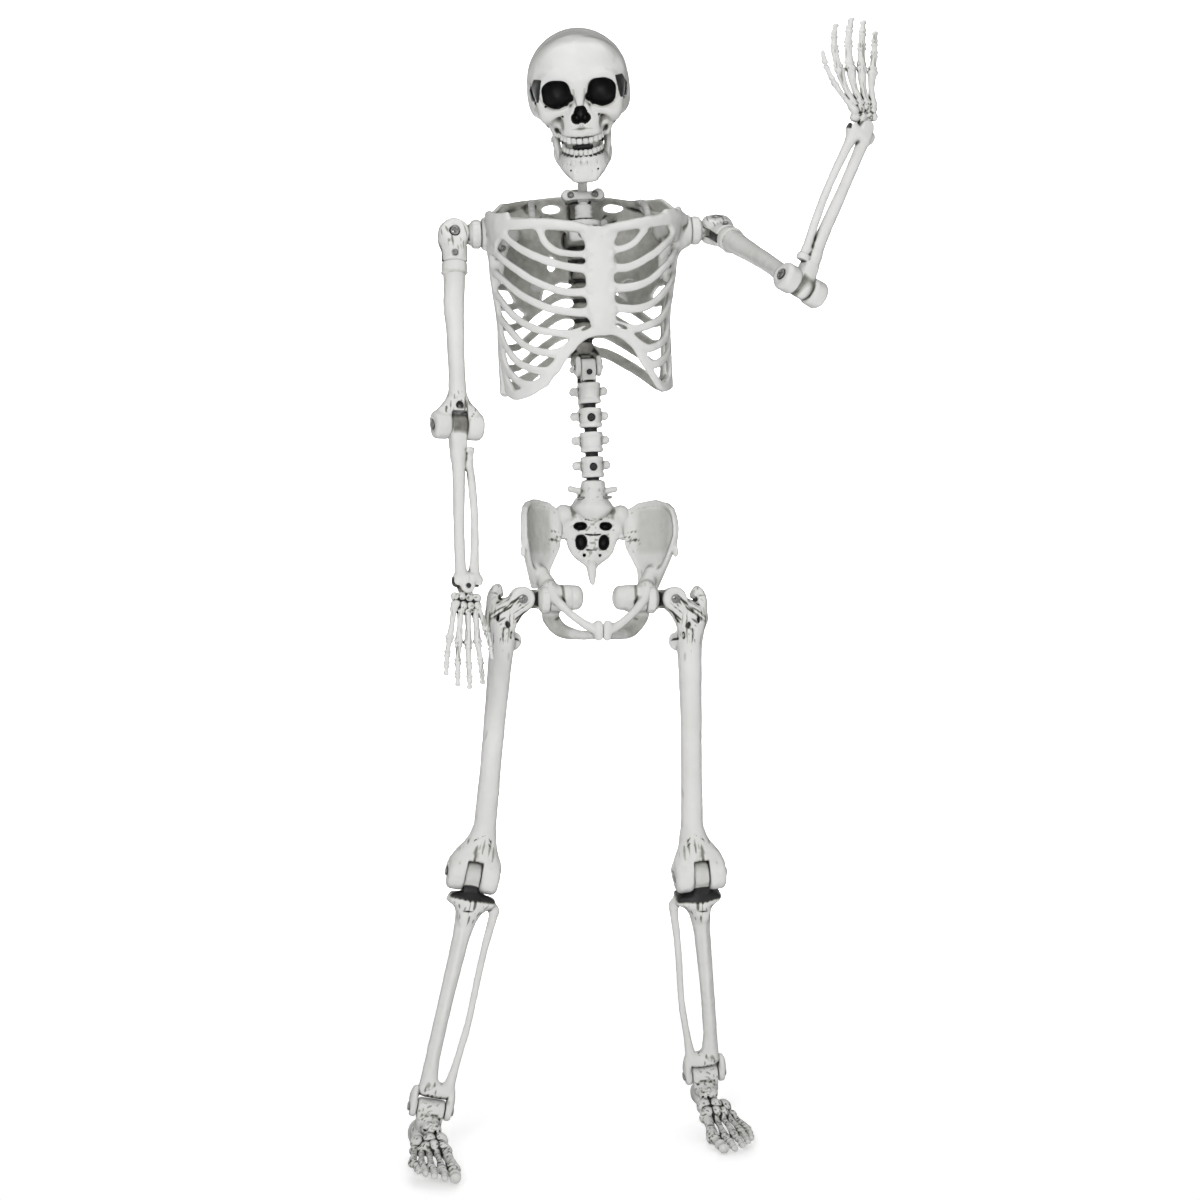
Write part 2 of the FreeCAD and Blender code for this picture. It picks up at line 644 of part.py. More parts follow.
def forearm(side):
    """Elbow tongue, ulna and radius, and a forked wrist."""
    length, tongue, wrist = Sizes.forearm_length, Sizes.elbow_tongue, Sizes.wrist_radius
    shaft_end = -(length - 22.0)
    body = fuse(cylinder("x", 17.0, tongue),
                slab(0, -36.0, tongue, 26.0, 36.0),
                slab(0, -38.0, 46.0, 26.0, 15.0),
                rod((side * -2.0, 0, -30.0), (side * 7.0, 0, shaft_end), Sizes.ulna_radius),
                rod((side * -15.0, 0, -30.0), (side * -12.0, 0, shaft_end),
                    Sizes.radius_radius),
                slab(0, -(length - 16.0), Sizes.wrist_width, 23.0, 18.0),
                cylinder("y", wrist, 23.0, (0, -length)),
                slab(0, -length, 2 * wrist, 23.0, 20.0))
    return cut(body, slab(0, -length - 30.0, 80.0, 10.8, 43.0),
               bore("y", WRIST_PIN_RADIUS, 60.0, (0, -length)),
               bore("x", Sizes.bolt_radius, 120.0))


def hand(side):
    wrist, finger = Sizes.wrist_radius, Sizes.finger_radius
    parts = [cylinder("y", wrist, 10.0),
             slab(0, -26.0, 2 * wrist, 10.0, 26.0),
             slab(0, -46.0, 46.0, 10.0, 30.0)]
    for x, tip_z in FINGERTIPS:
        parts.append(rod((side * x, 0, -40.0), (side * x * 1.25, -3.0, tip_z), finger))
    # thumb
    parts.append(rod((side * -16.0, 0, -24.0), (side * -29.0, -6.0, -92.0), finger))
    return cut(fuse(*parts), bore("y", WRIST_PIN_RADIUS, 60.0))


for side, name in SIDES:
    shoulder = (TORSO * shift(side * Sizes.socket_face, *SHOULDER_AT)
                * turn("x", -pose("arm", name, "swing")))
    piece(knuckle(side, Sizes.arm_hinge, Sizes.arm_lobe), "shoulder_knuckle_" + name, shoulder)
    head = (shoulder * shift(side * Sizes.arm_hinge, 0, 0)
            * turn("y", -side * pose("arm", name, "spread")))
    piece(hinge_bolt(), "shoulder_bolt_" + name, head)
    piece(humeral_head(), "humeral_head_" + name, head)
    piece(stepped("y", [TWIST_SCREW_AT], (Sizes.screw_radius, -19.5, 14.3),
                  (Sizes.screw_head, -23.0, 2.8), (Sizes.screw_radius, -20.6, 2.0)),
          "twist_screw_" + name, head)
    upper_arm = head * turn("z", side * pose("arm", name, "twist"))
    piece(humerus(), "humerus_" + name, upper_arm)
    elbow = upper_arm * shift(0, 0, -Sizes.humerus_length)
    piece(cross_bolt(Sizes.elbow_width, Sizes.bolt_radius), "elbow_bolt_" + name, elbow)
    lower_arm = elbow * turn("x", -pose("arm", name, "bend"))
    piece(forearm(side), "forearm_" + name, lower_arm)
    piece(cylinder("y", WRIST_PIN_RADIUS, 26.0, (0, -Sizes.forearm_length)),
          "wrist_pin_" + name, lower_arm)
    piece(hand(side), "hand_" + name,
          lower_arm * shift(0, 0, -Sizes.forearm_length)
          * turn("y", side * pose("wrist", name, "tilt")))

# ---------------------------------------------------------------- legs
HIP_LOBE = Sizes.leg_lobe + 3.0
TOE_PITCH = 14.5


def femur(side):
    """Forked hip head, neck, shaft and forked knee; origin on the hip bolt."""
    length, width = Sizes.femur_length, Sizes.knee_width
    body = fuse(cylinder("y", HIP_LOBE, 40.0),
                side_block(side, 0.0, -20.0, -30.0, 38.0, 40.0, 42.0),
                rod((side * 20.0, 0, -8.0), (side * 11.0, 0, -78.0), 19.0, 15.5),
                rod((side * 11.0, 0, -60.0), (0, 0, -(length - 30.0)), Sizes.femur_radius),
                cylinder("x", Sizes.knee_radius, width, (0, -length)),
                slab(0, -(length - 10.0), width - 20.0, 34.0, 44.0))
    return cut(body, side_block(side, -60.0, -HALF_SLOT, -60.0, 77.0, 2 * HALF_SLOT, 160.0),
               bore("y", Sizes.bolt_radius, 60.0),
               slab(0, -length - 60.0, Sizes.knee_tongue + 2 * Sizes.side_gap, 120.0, 82.5),
               bore("x", Sizes.knee_bolt, 120.0, (0, -length)))


def shin(side):
    """Knee tongue, tibia and fibula, and two cheeks around the ankle."""
    length, knee, ankle = Sizes.shin_length, Sizes.knee_tongue, Sizes.ankle_tongue
    shaft_end = -(length - 28.0)
    body = fuse(cylinder("x", 20.0, knee),
                slab(0, -36.0, knee, 30.0, 36.0),
                slab(0, -42.0, 70.0, 40.0, 14.0),
                rod((side * 8.0, 0, -40.0), (side * 4.0, 0, shaft_end),
                    Sizes.tibia_radius + 2.0, Sizes.tibia_radius),
                rod((side * -27.0, 2.0, -40.0), (side * -18.0, 2.0, shaft_end),
                    Sizes.fibula_radius),
                slab(0, -(length - 18.5), Sizes.ankle_width, 26.0, 18.0))
    near = ankle / 2.0 + Sizes.side_gap
    cheek = (Sizes.ankle_width - ankle) / 2.0 - Sizes.side_gap
    for end in BOTH:
        body = fuse(body, side_cylinder(end, Sizes.ankle_radius, near, cheek, (0, -length)),
                    side_block(end, near, -13.0, -length, cheek, 26.0, 30.0))
    return cut(body, bore("x", Sizes.knee_bolt, 120.0),
               bore("x", Sizes.bolt_radius, 120.0, (0, -length)))


def foot(side):
    height, tongue = Sizes.ankle_height, Sizes.ankle_tongue
    parts = [cylinder("x", 15.0, tongue),
             slab(0, -40.0, tongue, 30.0, 40.0),
             slab(12.0, -height, 46.0, 80.0, height - 26.0),
             slab(-56.0, -height, 52.0, 80.0, height - 34.0)]
    for i in range(5):
        # from the big toe on the inner side outward
        x = (i - 2) * TOE_PITCH
        root_radius, tip_radius = (12.0, 9.0) if i == 0 else (9.0, 7.0)
        parts.append(rod((side * x * 0.8, -70.0, -(height - 16.0)),
                         (side * (x + 4.0), -Sizes.foot_length + 62.0 + 7.0 * i,
                          -(height - 9.0)), root_radius, tip_radius))
    return cut(fuse(*parts), bore("x", Sizes.bolt_radius, 120.0))


for side, name in SIDES:
    hip = (STANCE * shift(side * Sizes.hip_face, 0, Sizes.hip_z)
           * turn("x", -pose("leg", name, "swing")))
    piece(knuckle(side, Sizes.leg_hinge, HIP_LOBE), "hip_knuckle_" + name, hip)
    thigh = (hip * shift(side * Sizes.leg_hinge, 0, 0)
             * turn("y", -side * pose("leg", name, "spread")))
    piece(hinge_bolt(), "hip_bolt_" + name, thigh)
    piece(femur(side), "femur_" + name, thigh)
    knee = thigh * shift(0, 0, -Sizes.femur_length)
    piece(cross_bolt(Sizes.knee_width, Sizes.knee_bolt), "knee_bolt_" + name, knee)
    lower_leg = knee * turn("x", pose("knee", name, "bend"))
    piece(shin(side), "shin_" + name, lower_leg)
    ankle = lower_leg * shift(0, 0, -Sizes.shin_length)
    piece(cross_bolt(Sizes.ankle_width, Sizes.bolt_radius), "ankle_bolt_" + name, ankle)
    piece(foot(side), "foot_" + name, ankle * turn("x", pose("ankle", name, "bend")))

# ---------------------------------------------------------------- check and export
doc.recompute()
bad = [(item.Name, item.State) for item in doc.Objects
       if "Invalid" in item.State or "Error" in item.State]
bad += [(item.Label, "shape") for item in pieces
        if item.Shape.isNull() or not item.Shape.isValid() or not item.Shape.Solids]
if bad:
    raise RuntimeError("bad objects: %s" % bad)
os.makedirs("parts", exist_ok=True)
for item in pieces:
    item.Shape.exportStep("parts/%s.step" % item.Label)
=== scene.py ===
# A jointed skeleton of moulded bone plastic, standing and facing -Y with its left arm raised.
# Its right side is -X. Pieces are sculpted in mm in their joint frames and placed in metres.
import json
import math
from functools import reduce

import bpy
import numpy as np
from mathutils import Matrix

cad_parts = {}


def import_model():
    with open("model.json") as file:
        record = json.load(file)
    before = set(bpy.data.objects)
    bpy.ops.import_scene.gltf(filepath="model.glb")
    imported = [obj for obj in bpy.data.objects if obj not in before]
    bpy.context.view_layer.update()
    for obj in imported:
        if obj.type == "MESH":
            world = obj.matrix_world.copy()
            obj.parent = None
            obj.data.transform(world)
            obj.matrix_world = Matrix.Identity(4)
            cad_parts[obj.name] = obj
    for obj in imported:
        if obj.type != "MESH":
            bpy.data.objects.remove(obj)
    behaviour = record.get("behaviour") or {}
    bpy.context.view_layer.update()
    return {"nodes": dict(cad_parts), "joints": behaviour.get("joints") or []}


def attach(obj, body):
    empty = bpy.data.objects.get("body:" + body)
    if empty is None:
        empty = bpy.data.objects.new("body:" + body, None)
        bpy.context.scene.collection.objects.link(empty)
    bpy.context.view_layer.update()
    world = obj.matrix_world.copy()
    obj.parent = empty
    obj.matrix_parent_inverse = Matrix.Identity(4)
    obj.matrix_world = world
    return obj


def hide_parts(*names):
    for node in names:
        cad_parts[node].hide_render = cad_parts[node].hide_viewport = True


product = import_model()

import openvdb
from mathutils import Vector

# ------------------------------------------------------------------ sizes (mm) and pose (degrees)
BASE = (-32.016, 51.312, 12.636)    # the trunk's own frame, before the lean
SPINE_Y = 50.0
BEND_Z = 1141.0                     # waist bend axis
TWIST_Z = BEND_Z - 173              # the trunk leans about this height
NECK_Y, NOD_Z = 28, 1389.0
SPLIT_Y = 10.0                      # seam between front and rear rib cage
SHOULDER_X, SHOULDER_Z = 155.0, 1334.0
HIP_X, HIP_Z = 71.0, 797.0
ARM_HINGE, LEG_HINGE = 39.0, 41.0   # from the shoulder or hip face out to its hinge
HUMERUS, FOREARM = 284.0, 238.0
FEMUR, SHIN = 405.0, 342.0
LEAN, NECK_TURN = 2.5, -8.0
ARM_POSE = {"right": dict(swing=8.4, spread=2.1, twist=-15.0, bend=5.6, wrist=-4.0),
            "left": dict(swing=64.2, spread=12.5, twist=31.9, bend=108.6, wrist=27.0)}
LEG_POSE = {"right": dict(swing=0.0, spread=10.2, knee=0.0, ankle=0.0),
            "left": dict(swing=1.0, spread=5.4, knee=21.0, ankle=-12.0)}
SEAM = 0.1                          # each half stops this far short of its split plane
VERTEBRA_TOP, VERTEBRA_PITCH = 1376, 29.6

COARSER = 1.0
FAR = 9.0                           # distances are held within this
EYE = np.eye(3, dtype=np.float32)
CUT = True
BOTH = (-1, 1)


# ------------------------------------------------------------------ joint frames
def shift(x=0, y=0, z=0):
    frame = np.eye(4)
    frame[:3, 3] = (x, y, z)
    return frame


def turn(axis, degrees):
    angle = math.radians(degrees)
    frame = np.eye(4)
    i, j = {"x": (1, 2), "y": (2, 0), "z": (0, 1)}[axis]
    frame[i, i] = frame[j, j] = math.cos(angle)
    frame[j, i] = math.sin(angle)
    frame[i, j] = -frame[j, i]
    return frame


def joint_frames(base):
    """World frame (mm) of every jointed body."""
    waist = shift(0, SPINE_Y, TWIST_Z)
    torso = base @ waist @ turn("y", -LEAN) @ np.linalg.inv(waist)
    made = {"torso": torso, "pelvis": base @ waist, "lumbar": torso @ shift(0, SPINE_Y, BEND_Z)}
    made["neck"] = torso @ shift(0, NECK_Y, NOD_Z) @ turn("z", NECK_TURN)
    made["skull"] = made["neck"] @ shift(0, -29, 157) @ turn("x", 18)
    made["jaw"] = made["skull"] @ shift(0, 0, -76)
    for name, side in (("right", -1), ("left", 1)):
        arm, leg = ARM_POSE[name], LEG_POSE[name]
        shoulder = torso @ shift(side * SHOULDER_X, SPLIT_Y, SHOULDER_Z) @ turn("x", -arm["swing"])
        head = shoulder @ shift(side * ARM_HINGE) @ turn("y", -side * arm["spread"])
        upper = head @ turn("z", side * arm["twist"])
        forearm = upper @ shift(z=-HUMERUS) @ turn("x", -arm["bend"])
        hand = forearm @ shift(z=-FOREARM) @ turn("y", side * arm["wrist"])
        hip = base @ shift(side * HIP_X, 0, HIP_Z) @ turn("x", -leg["swing"])
        thigh = hip @ shift(side * LEG_HINGE) @ turn("y", -side * leg["spread"])
        shin = thigh @ shift(z=-FEMUR) @ turn("x", leg["knee"])
        foot = shin @ shift(z=-SHIN) @ turn("x", leg["ankle"])
        for body, frame in (("shoulder", shoulder), ("arm_head", head), ("upper_arm", upper),
                            ("forearm", forearm), ("hand", hand), ("hip", hip),
                            ("thigh", thigh), ("shin", shin), ("foot", foot)):
            made[f"{body}_{name}"] = frame
    return made


TRUNK = shift(*BASE)
FRAMES = joint_frames(TRUNK)
TORSO = FRAMES["torso"]
HEAD = FRAMES["skull"] @ turn("y", -1.8)

# the CAD's skull joint is the neck's nod axis
for joint in product["joints"]:
    body = joint["child"]
    centre = FRAMES["neck" if body == "skull" else body][:3, 3] / 1000.0
    if np.linalg.norm(centre - np.array(joint["pos_m"])) > 0.0006:
        raise RuntimeError("frame of %s is off its joint" % body)


# ------------------------------------------------------------------ distance helpers
def vec(*values):
    return np.array(values, dtype=np.float32)


def ease(start, end, value):
    """Smooth rise from 0 at start to 1 at end."""
    t = np.clip((value - start) / (end - start), 0, 1)
    return t * t * (3 - 2 * t)


def smooth_min(old, new, blend):
    mix = np.clip(0.5 + 0.5 * (new - old) / blend, 0, 1)
    return new * (1 - mix) + old * mix - blend * mix * (1 - mix)


def rounded(radius, *gaps):
    """Distance to a shape with rounded edges, from the gaps to its inset faces."""
    outside = np.sqrt(sum(np.maximum(gap, 0) ** 2 for gap in gaps))
    return outside + np.minimum(reduce(np.maximum, gaps), 0) - radius


def to_local(x, y, z, centre, axes):
    x, y, z = x - centre[0], y - centre[1], z - centre[2]
    if axes is EYE:
        return x, y, z
    return [x * axes[0, i] + y * axes[1, i] + z * axes[2, i] for i in range(3)]


def local_axes(frame):
    return EYE if frame is None else np.array(frame, np.float32)[:3, :3]


def capsule(x, y, z, start, end, radius0, radius1, flat, ratio):
    """Distance to a round cone, thinner by ratio along the unit direction flat."""
    along = end - start
    square_length = float(along @ along) + 1e-6
    x, y, z = x - start[0], y - start[1], z - start[2]
    t = np.clip((x * along[0] + y * along[1] + z * along[2]) / square_length, 0, 1)
    x, y, z = x - t * along[0], y - t * along[1], z - t * along[2]
    square = x * x + y * y + z * z
    radius = radius0 + (radius1 - radius0) * t
    if flat is None:
        return np.sqrt(square) - radius
    across = x * flat[0] + y * flat[1] + z * flat[2]
    square = square + (1.0 / ratio ** 2 - 1.0) * across * across
    return (np.sqrt(square + 1e-6) - radius) * (0.5 + 0.5 * ratio)


def polygon_distance(across, up, outline):
    """Signed distance in the plane to a closed outline, negative inside."""
    square, sign = 1e9, np.float32(1)
    for corner, last in zip(outline, np.roll(outline, 1, axis=0)):
        edge = last - corner
        dx, dy = across - corner[0], up - corner[1]
        t = np.clip((dx * edge[0] + dy * edge[1]) / float(edge @ edge), 0, 1)
        square = np.minimum(square, (dx - edge[0] * t) ** 2 + (dy - edge[1] * t) ** 2)
        above, below, beside = up >= corner[1], up < last[1], edge[0] * dy > edge[1] * dx
        flip = (above & below & beside) | ~(above | below | beside)
        sign = np.where(flip, -sign, sign)
    return np.sqrt(square) * sign


def spline(points, radii, steps):
    """Catmull-Rom through the points with the given steps per span."""
    ends = np.vstack([2 * points[0] - points[1], points, 2 * points[-1] - points[-2]])
    path, widths = [], []
    for i in range(len(points) - 1):
        p0, p1, p2, p3 = ends[i:i + 4]
        for t in np.linspace(0, 1, steps, endpoint=False):
            path.append(0.5 * (2 * p1 + (p2 - p0) * t + (2 * p0 - 5 * p1 + 4 * p2 - p3) * t * t
                               + (3 * p1 - p0 - 3 * p2 + p3) * t ** 3))
            widths.append(radii[i] * (1 - t) + radii[i + 1] * t)
    return np.array(path + [points[-1]]), np.array(widths + [radii[-1]])


def smooth_path(points, radii, steps):
    points = np.array(points, float)
    radii = np.array(radii, float) if np.ndim(radii) else np.full(len(points), float(radii))
    return spline(points, radii, steps)


def upsample(values, shape, step):
    """Spread a coarse lattice of values smoothly over a grid."""
    for i in range(3):
        t = np.arange(shape[i]) * step
        cell = np.clip(t.astype(int), 0, values.shape[i] - 2)
        part = (t - cell).astype(np.float32)
        part = part * part * (3 - 2 * part)
        size = [1, 1, 1]
        size[i] = -1
        part = part.reshape(size)
        values = (np.take(values, cell, axis=i) * (1 - part)
                  + np.take(values, cell + 1, axis=i) * part)
    return values


def blur(dist, reach):
    """Box blur over reach voxels each way."""
    width = 2 * reach + 1
    for i in range(3):
        count = dist.shape[i]
        pad = [(0, 0)] * 3
        pad[i] = (reach + 1, reach)
        total = np.cumsum(np.pad(dist, pad, mode="edge").astype(np.float32), axis=i,
                          dtype=np.float64)
        upper = np.take(total, np.arange(width, count + width), axis=i)
        lower = np.take(total, np.arange(0, count), axis=i)
        dist = ((upper - lower) / width).astype(np.float32)
    return dist


# ------------------------------------------------------------------ sculpting volume
class Volume:
    """Signed distances on a grid in mm: solids are blended in or cut out, then it is skinned."""

    def __init__(self, low, high, step):
        self.step = step * COARSER
        self.origin = np.floor(np.array(low) / self.step).astype(int) - 3
        count = np.ceil(np.array(high) / self.step).astype(int) + 4 - self.origin
        self.dist = np.full(tuple(count), FAR, np.float32)
        self.axes = [((self.origin[i] + np.arange(count[i])) * self.step).astype(np.float32)
                     for i in range(3)]

    def put(self, shape, low, high, blend, cut=False):
        """Blend in or cut out a distance function inside a window around its bounds."""
        margin = 7.0 + blend
        window = []
        for axis, least, most in zip(self.axes, low, high):
            start = int(np.searchsorted(axis, least - margin))
            end = int(np.searchsorted(axis, most + margin))
            if end <= start:
                return
            window.append(slice(start, end))
        window = tuple(window)
        new = shape(*np.ix_(*(axis[span] for axis, span in zip(self.axes, window))))
        old = -self.dist[window] if cut else self.dist[window]
        new = smooth_min(old, new, blend) if blend > 0 else np.minimum(old, new)
        self.dist[window] = -new if cut else new

    def cone(self, start, end, radius0, radius1, blend, flat=None, ratio=1.0):
        """Round cone; it is thinner by ratio along the unit direction flat."""
        start, end = vec(*start), vec(*end)
        flat = None if flat is None else vec(*flat)
        most = max(radius0, radius1)
        self.put(lambda x, y, z: capsule(x, y, z, start, end, radius0, radius1, flat, ratio),
                 np.minimum(start, end) - most, np.maximum(start, end) + most, blend)

    def tube(self, points, radii, blend, cut=False, flat=None, ratio=1.0, steps=0):
        """Smooth tube; radii is one value or one per point, flat one direction or a list.

        Steps are per span: 3 unless given, and 1 where there are just two points."""
        path, widths = smooth_path(points, radii, steps or (1 if len(points) == 2 else 3))
        path, widths = path.astype(np.float32), widths.astype(np.float32)
        flats = flat if isinstance(flat, list) else [flat] * (len(path) - 1)
        units = [None if way is None else vec(*way) / np.linalg.norm(way) for way in flats]
        most = float(widths.max())

        def shape(x, y, z):
            return reduce(np.minimum, (
                capsule(x, y, z, path[i], path[i + 1], float(widths[i]), float(widths[i + 1]),
                        units[i], ratio) for i in range(len(path) - 1)))
        self.put(shape, path.min(0) - most, path.max(0) + most, blend, cut)

    def ball(self, centre, radii, blend, cut=False, frame=None):
        """Ellipsoid."""
        centre, radii, axes = vec(*centre), vec(*radii), local_axes(frame)
        reach = np.sqrt(((axes * radii[None, :]) ** 2).sum(1))

        def shape(x, y, z):
            x, y, z = to_local(x, y, z, centre, axes)
            near = np.sqrt((x / radii[0]) ** 2 + (y / radii[1]) ** 2 + (z / radii[2]) ** 2)
            slope = np.sqrt((x / radii[0] ** 2) ** 2 + (y / radii[1] ** 2) ** 2
                            + (z / radii[2] ** 2) ** 2)
            return near * (near - 1.0) / np.maximum(slope, 1e-5)
        self.put(shape, centre - reach, centre + reach, blend, cut)

    def balls(self, *rows, cut=False):
        for row in rows:
            self.ball(*row, cut=cut)

    def box(self, centre, half, radius, blend, cut=False, frame=None):
        """Box with edges rounded to a radius."""
        centre, axes = vec(*centre), local_axes(frame)
        inset = vec(*half) - radius
        reach = (np.abs(axes) * vec(*half)[None, :]).sum(1)

        def shape(x, y, z):
            place = to_local(x, y, z, centre, axes)
            return rounded(radius, *(np.abs(place[i]) - inset[i] for i in range(3)))
        self.put(shape, centre - reach, centre + reach, blend, cut)

    def drum(self, centre, axis, radius, half, edge, blend, cut=False):
        """Cylinder along x, y or z with rounded edges."""
        centre, lie = vec(*centre), "xyz".index(axis)
        reach = vec(*(half if i == lie else radius for i in range(3)))

        def shape(x, y, z):
            x, y, z = x - centre[0], y - centre[1], z - centre[2]
            along = (x, y, z)[lie]
            out = np.sqrt(np.maximum(x * x + y * y + z * z - along * along, 0))
            return rounded(edge, out - (radius - edge), np.abs(along) - (half - edge))
        self.put(shape, centre - reach, centre + reach, blend, cut)

    def plate(self, origin, along, outline, thick, blend, bend=0.0, bend_up=0.0, rim=0.0):
        """Upright bent plate: outline is (along, z) from origin; rim thickens its edge."""
        origin, along, up = vec(*origin), vec(*along), vec(0, 0, 1)
        along = along / np.linalg.norm(along)
        normal = vec(along[1], -along[0], 0)
        outline = np.array(outline, np.float32)
        low, high = outline.min(0), outline.max(0)
        wide, tall = np.maximum(abs(low), abs(high))
        deep = abs(bend) * wide ** 2 + abs(bend_up) * tall ** 2 + thick
        corners = np.array([origin + along * a + up * b + normal * c for a in (low[0], high[0])
                            for b in (low[1], high[1]) for c in (-deep, deep)])

        def shape(x, y, z):
            x, y, z = x - origin[0], y - origin[1], z - origin[2]
            across = x * along[0] + y * along[1]
            level = x * normal[0] + y * normal[1] + bend * across * across + bend_up * z * z
            edge = polygon_distance(across, z, outline)
            half = thick / 2.0 + rim * np.clip(1 - np.abs(edge + 3.5) / 5.0, 0, 1)
            return rounded(1.5, edge + 1.5, np.abs(level) - half + 1.5)
        self.put(shape, corners.min(0), corners.max(0), blend)

    def groove(self, line, where, depth=0.7, width=0.8):
        """Press a thin line into the surface where line is zero."""
        self.dist = self.dist + (depth * np.exp(-(line / width) ** 2) * where).astype(np.float32)

    def keep_side(self, axis, at, keep):
        """Cut away everything on one side of a plane; keep is +1 or -1."""
        i = "xyz".index(axis)
        self.dist = np.maximum(self.dist, -keep * (np.ix_(*self.axes)[i] - at))

    def mirror(self):
        """Copy the +x side over to -x."""
        right = self.dist[-self.origin[0]:]
        left = right[1:][::-1]
        self.dist = np.concatenate([left, right], 0)
        self.origin[0] = -left.shape[0]
        self.axes[0] = ((np.arange(self.dist.shape[0]) + self.origin[0])
                        * self.step).astype(np.float32)

    def noise(self, height, size, seed):
        """Low smooth unevenness over the whole surface."""
        count = [int(n * self.step / size) + 4 for n in self.dist.shape]
        values = np.random.default_rng(seed).uniform(-1, 1, count).astype(np.float32)
        self.dist += height * upsample(values, self.dist.shape, self.step / size)

    def sample(self, values, points):
        """Values of a grid like this one, interpolated at the points."""
        place = points / self.step - self.origin[None, :]
        cell = np.clip(np.floor(place).astype(int), 0, np.array(values.shape) - 2)
        part = (place - cell).astype(np.float32)
        total = 0
        for corner in np.ndindex(2, 2, 2):
            weight = np.where(corner, part, 1 - part)
            total = total + (weight[:, 0] * weight[:, 1] * weight[:, 2]
                             * values[tuple((cell + corner).T)])
        return total

    def surface(self):
        grid = openvdb.FloatGrid(FAR)
        grid.transform = openvdb.createLinearTransform(voxelSize=self.step)
        grid.copyFromArray(np.clip(self.dist, -FAR, FAR), ijk=tuple(int(n) for n in self.origin),
                           tolerance=0.0)
        points, quads = grid.convertToQuads(isovalue=0.0)
        return np.asarray(points, np.float64), np.asarray(quads, np.int64)[:, ::-1]

    def wash_and_shade(self, points, paints):
        """Dark wash in the hollows and painted shade per point: hollows first, then each paint in
        turn.
        """
        dist = np.clip(self.dist, -FAR, FAR)
        hollow = 0
        for reach, depth in ((3.0, 0.75), (6.5, 2.1)):
            blurred = blur(dist, max(1, int(round(reach / self.step))))
            hollow = hollow + np.clip(-self.sample(blurred, points) / depth, -1, 1.2)
        wash_and_shade = np.clip(hollow * 0.62 - 0.10, 0, 1)
        for paint in paints:
            wash_and_shade = paint(*points.T, wash_and_shade)
        return wash_and_shade

    def skin(self, *paints):
        """Points (mm), faces and the dark wash with painted shade."""
        points, faces = self.surface()
        return points, faces, self.wash_and_shade(points, paints)

    def half_skin(self, at, keep, paints):
        """Skin of one side of a plane across y, shaded as part of the whole."""
        whole = self.dist
        self.keep_side("y", at, keep)
        points, faces = keep_large(*self.surface(), 400)
        self.dist = whole
        return points, faces, self.wash_and_shade(points, paints)


def keep_large(points, faces, least):
    """Drop connected patches of fewer than least points."""
    label = np.arange(len(points))
    edges = [(faces[:, i], faces[:, (i + 1) % faces.shape[1]]) for i in range(faces.shape[1])]
    while True:
        before = label.copy()
        for start, end in edges:
            lower = np.minimum(label[start], label[end])
            np.minimum.at(label, start, lower)
            np.minimum.at(label, end, lower)
        label = label[label]
        label = label[label]
        if np.array_equal(before, label):
            break
    kept = np.bincount(label, minlength=len(points))[label] >= least
    renumbered = np.cumsum(kept) - 1
    return points[kept], renumbered[faces[kept[faces[:, 0]]]]


def place(mesh, frames):
    """Several copies of one small mesh as one mesh."""
    points, faces, wash_and_shade = mesh
    return (np.vstack([points @ frame[:3, :3].T + frame[:3, 3] for frame in frames]),
            np.vstack([faces + i * len(points) for i in range(len(frames))]),
            np.concatenate([wash_and_shade] * len(frames)))


def joined(first, second):
    return (np.vstack([first[0], second[0]]), np.vstack([first[1], second[1] + len(first[0])]),
            np.concatenate([first[2], second[2]]))


# ------------------------------------------------------------------ paints of dark wash and painted shade
def grime(centre, radius, amount, seed, size=4.0, along=None):
    """Blotchy dark patches inside a ball, drawn out along a direction if one is given."""
    rng = np.random.default_rng(seed)
    waves = rng.normal(0, 1, (14, 3)) / size
    phase = rng.uniform(0, 6.28, 14)
    if along is not None:
        unit = np.array(along, float) / np.linalg.norm(along)
        waves = waves * 1.5 - 1.32 * np.outer(waves @ unit, unit)

    def paint(x, y, z, wash_and_shade):
        place = np.stack([x, y, z], 1) - np.array(centre, float)
        inside = ease(1.0, 0.55, np.linalg.norm(place, axis=1) / radius)
        total = np.zeros(len(place))
        for i in range(14):
            total += np.sin(place @ waves[i] * 2.2 + phase[i]
                            + 0.8 * np.sin(place @ waves[(i + 5) % 14] * 1.4))
        return wash_and_shade + amount * inside * ease(0.15, 1.25, total / 14 ** 0.5)
    return paint


def streaks(seed, amount):
    """Thin dark streaks running down a bone."""
    rng = np.random.default_rng(seed)
    phase = rng.uniform(0, 6.28, 12)
    around = rng.uniform(0.35, 1.5, 12)
    down = rng.uniform(0.01, 0.05, 12)

    def paint(x, y, z, wash_and_shade):
        angle = np.arctan2(y, x) * 6
        total = np.zeros(len(x))
        for i in range(12):
            total += np.sin(angle * around[i] + phase[i]
                            + 3 * np.sin(z * down[i] + phase[(i + 3) % 12]))
        return wash_and_shade + amount * ease(1.0, 2.2, total / 12 ** 0.5)
    return paint


# ------------------------------------------------------------------ materials
def new_material(name):
    material = bpy.data.materials.new(name)
    material.use_nodes = True
    material.node_tree.nodes.clear()
    return material, material.node_tree


def node(tree, kind, inputs=None, **settings):
    """New shader node; each input is a value, or a socket to link from."""
    made = tree.nodes.new("ShaderNode" + kind)
    for key, value in settings.items():
        setattr(made, key, value)
    for key, value in (inputs or {}).items():
        if isinstance(value, bpy.types.NodeSocket):
            tree.links.new(value, made.inputs[key])
        else:
            made.inputs[key].default_value = value
    return made


def noise(tree, place, **inputs):
    return node(tree, "TexNoise", {"Vector": place, **inputs}).outputs["Fac"]


def calc(tree, operation, first, second, clamp=False):
    return node(tree, "Math", {0: first, 1: second}, operation=operation,
                use_clamp=clamp).outputs[0]


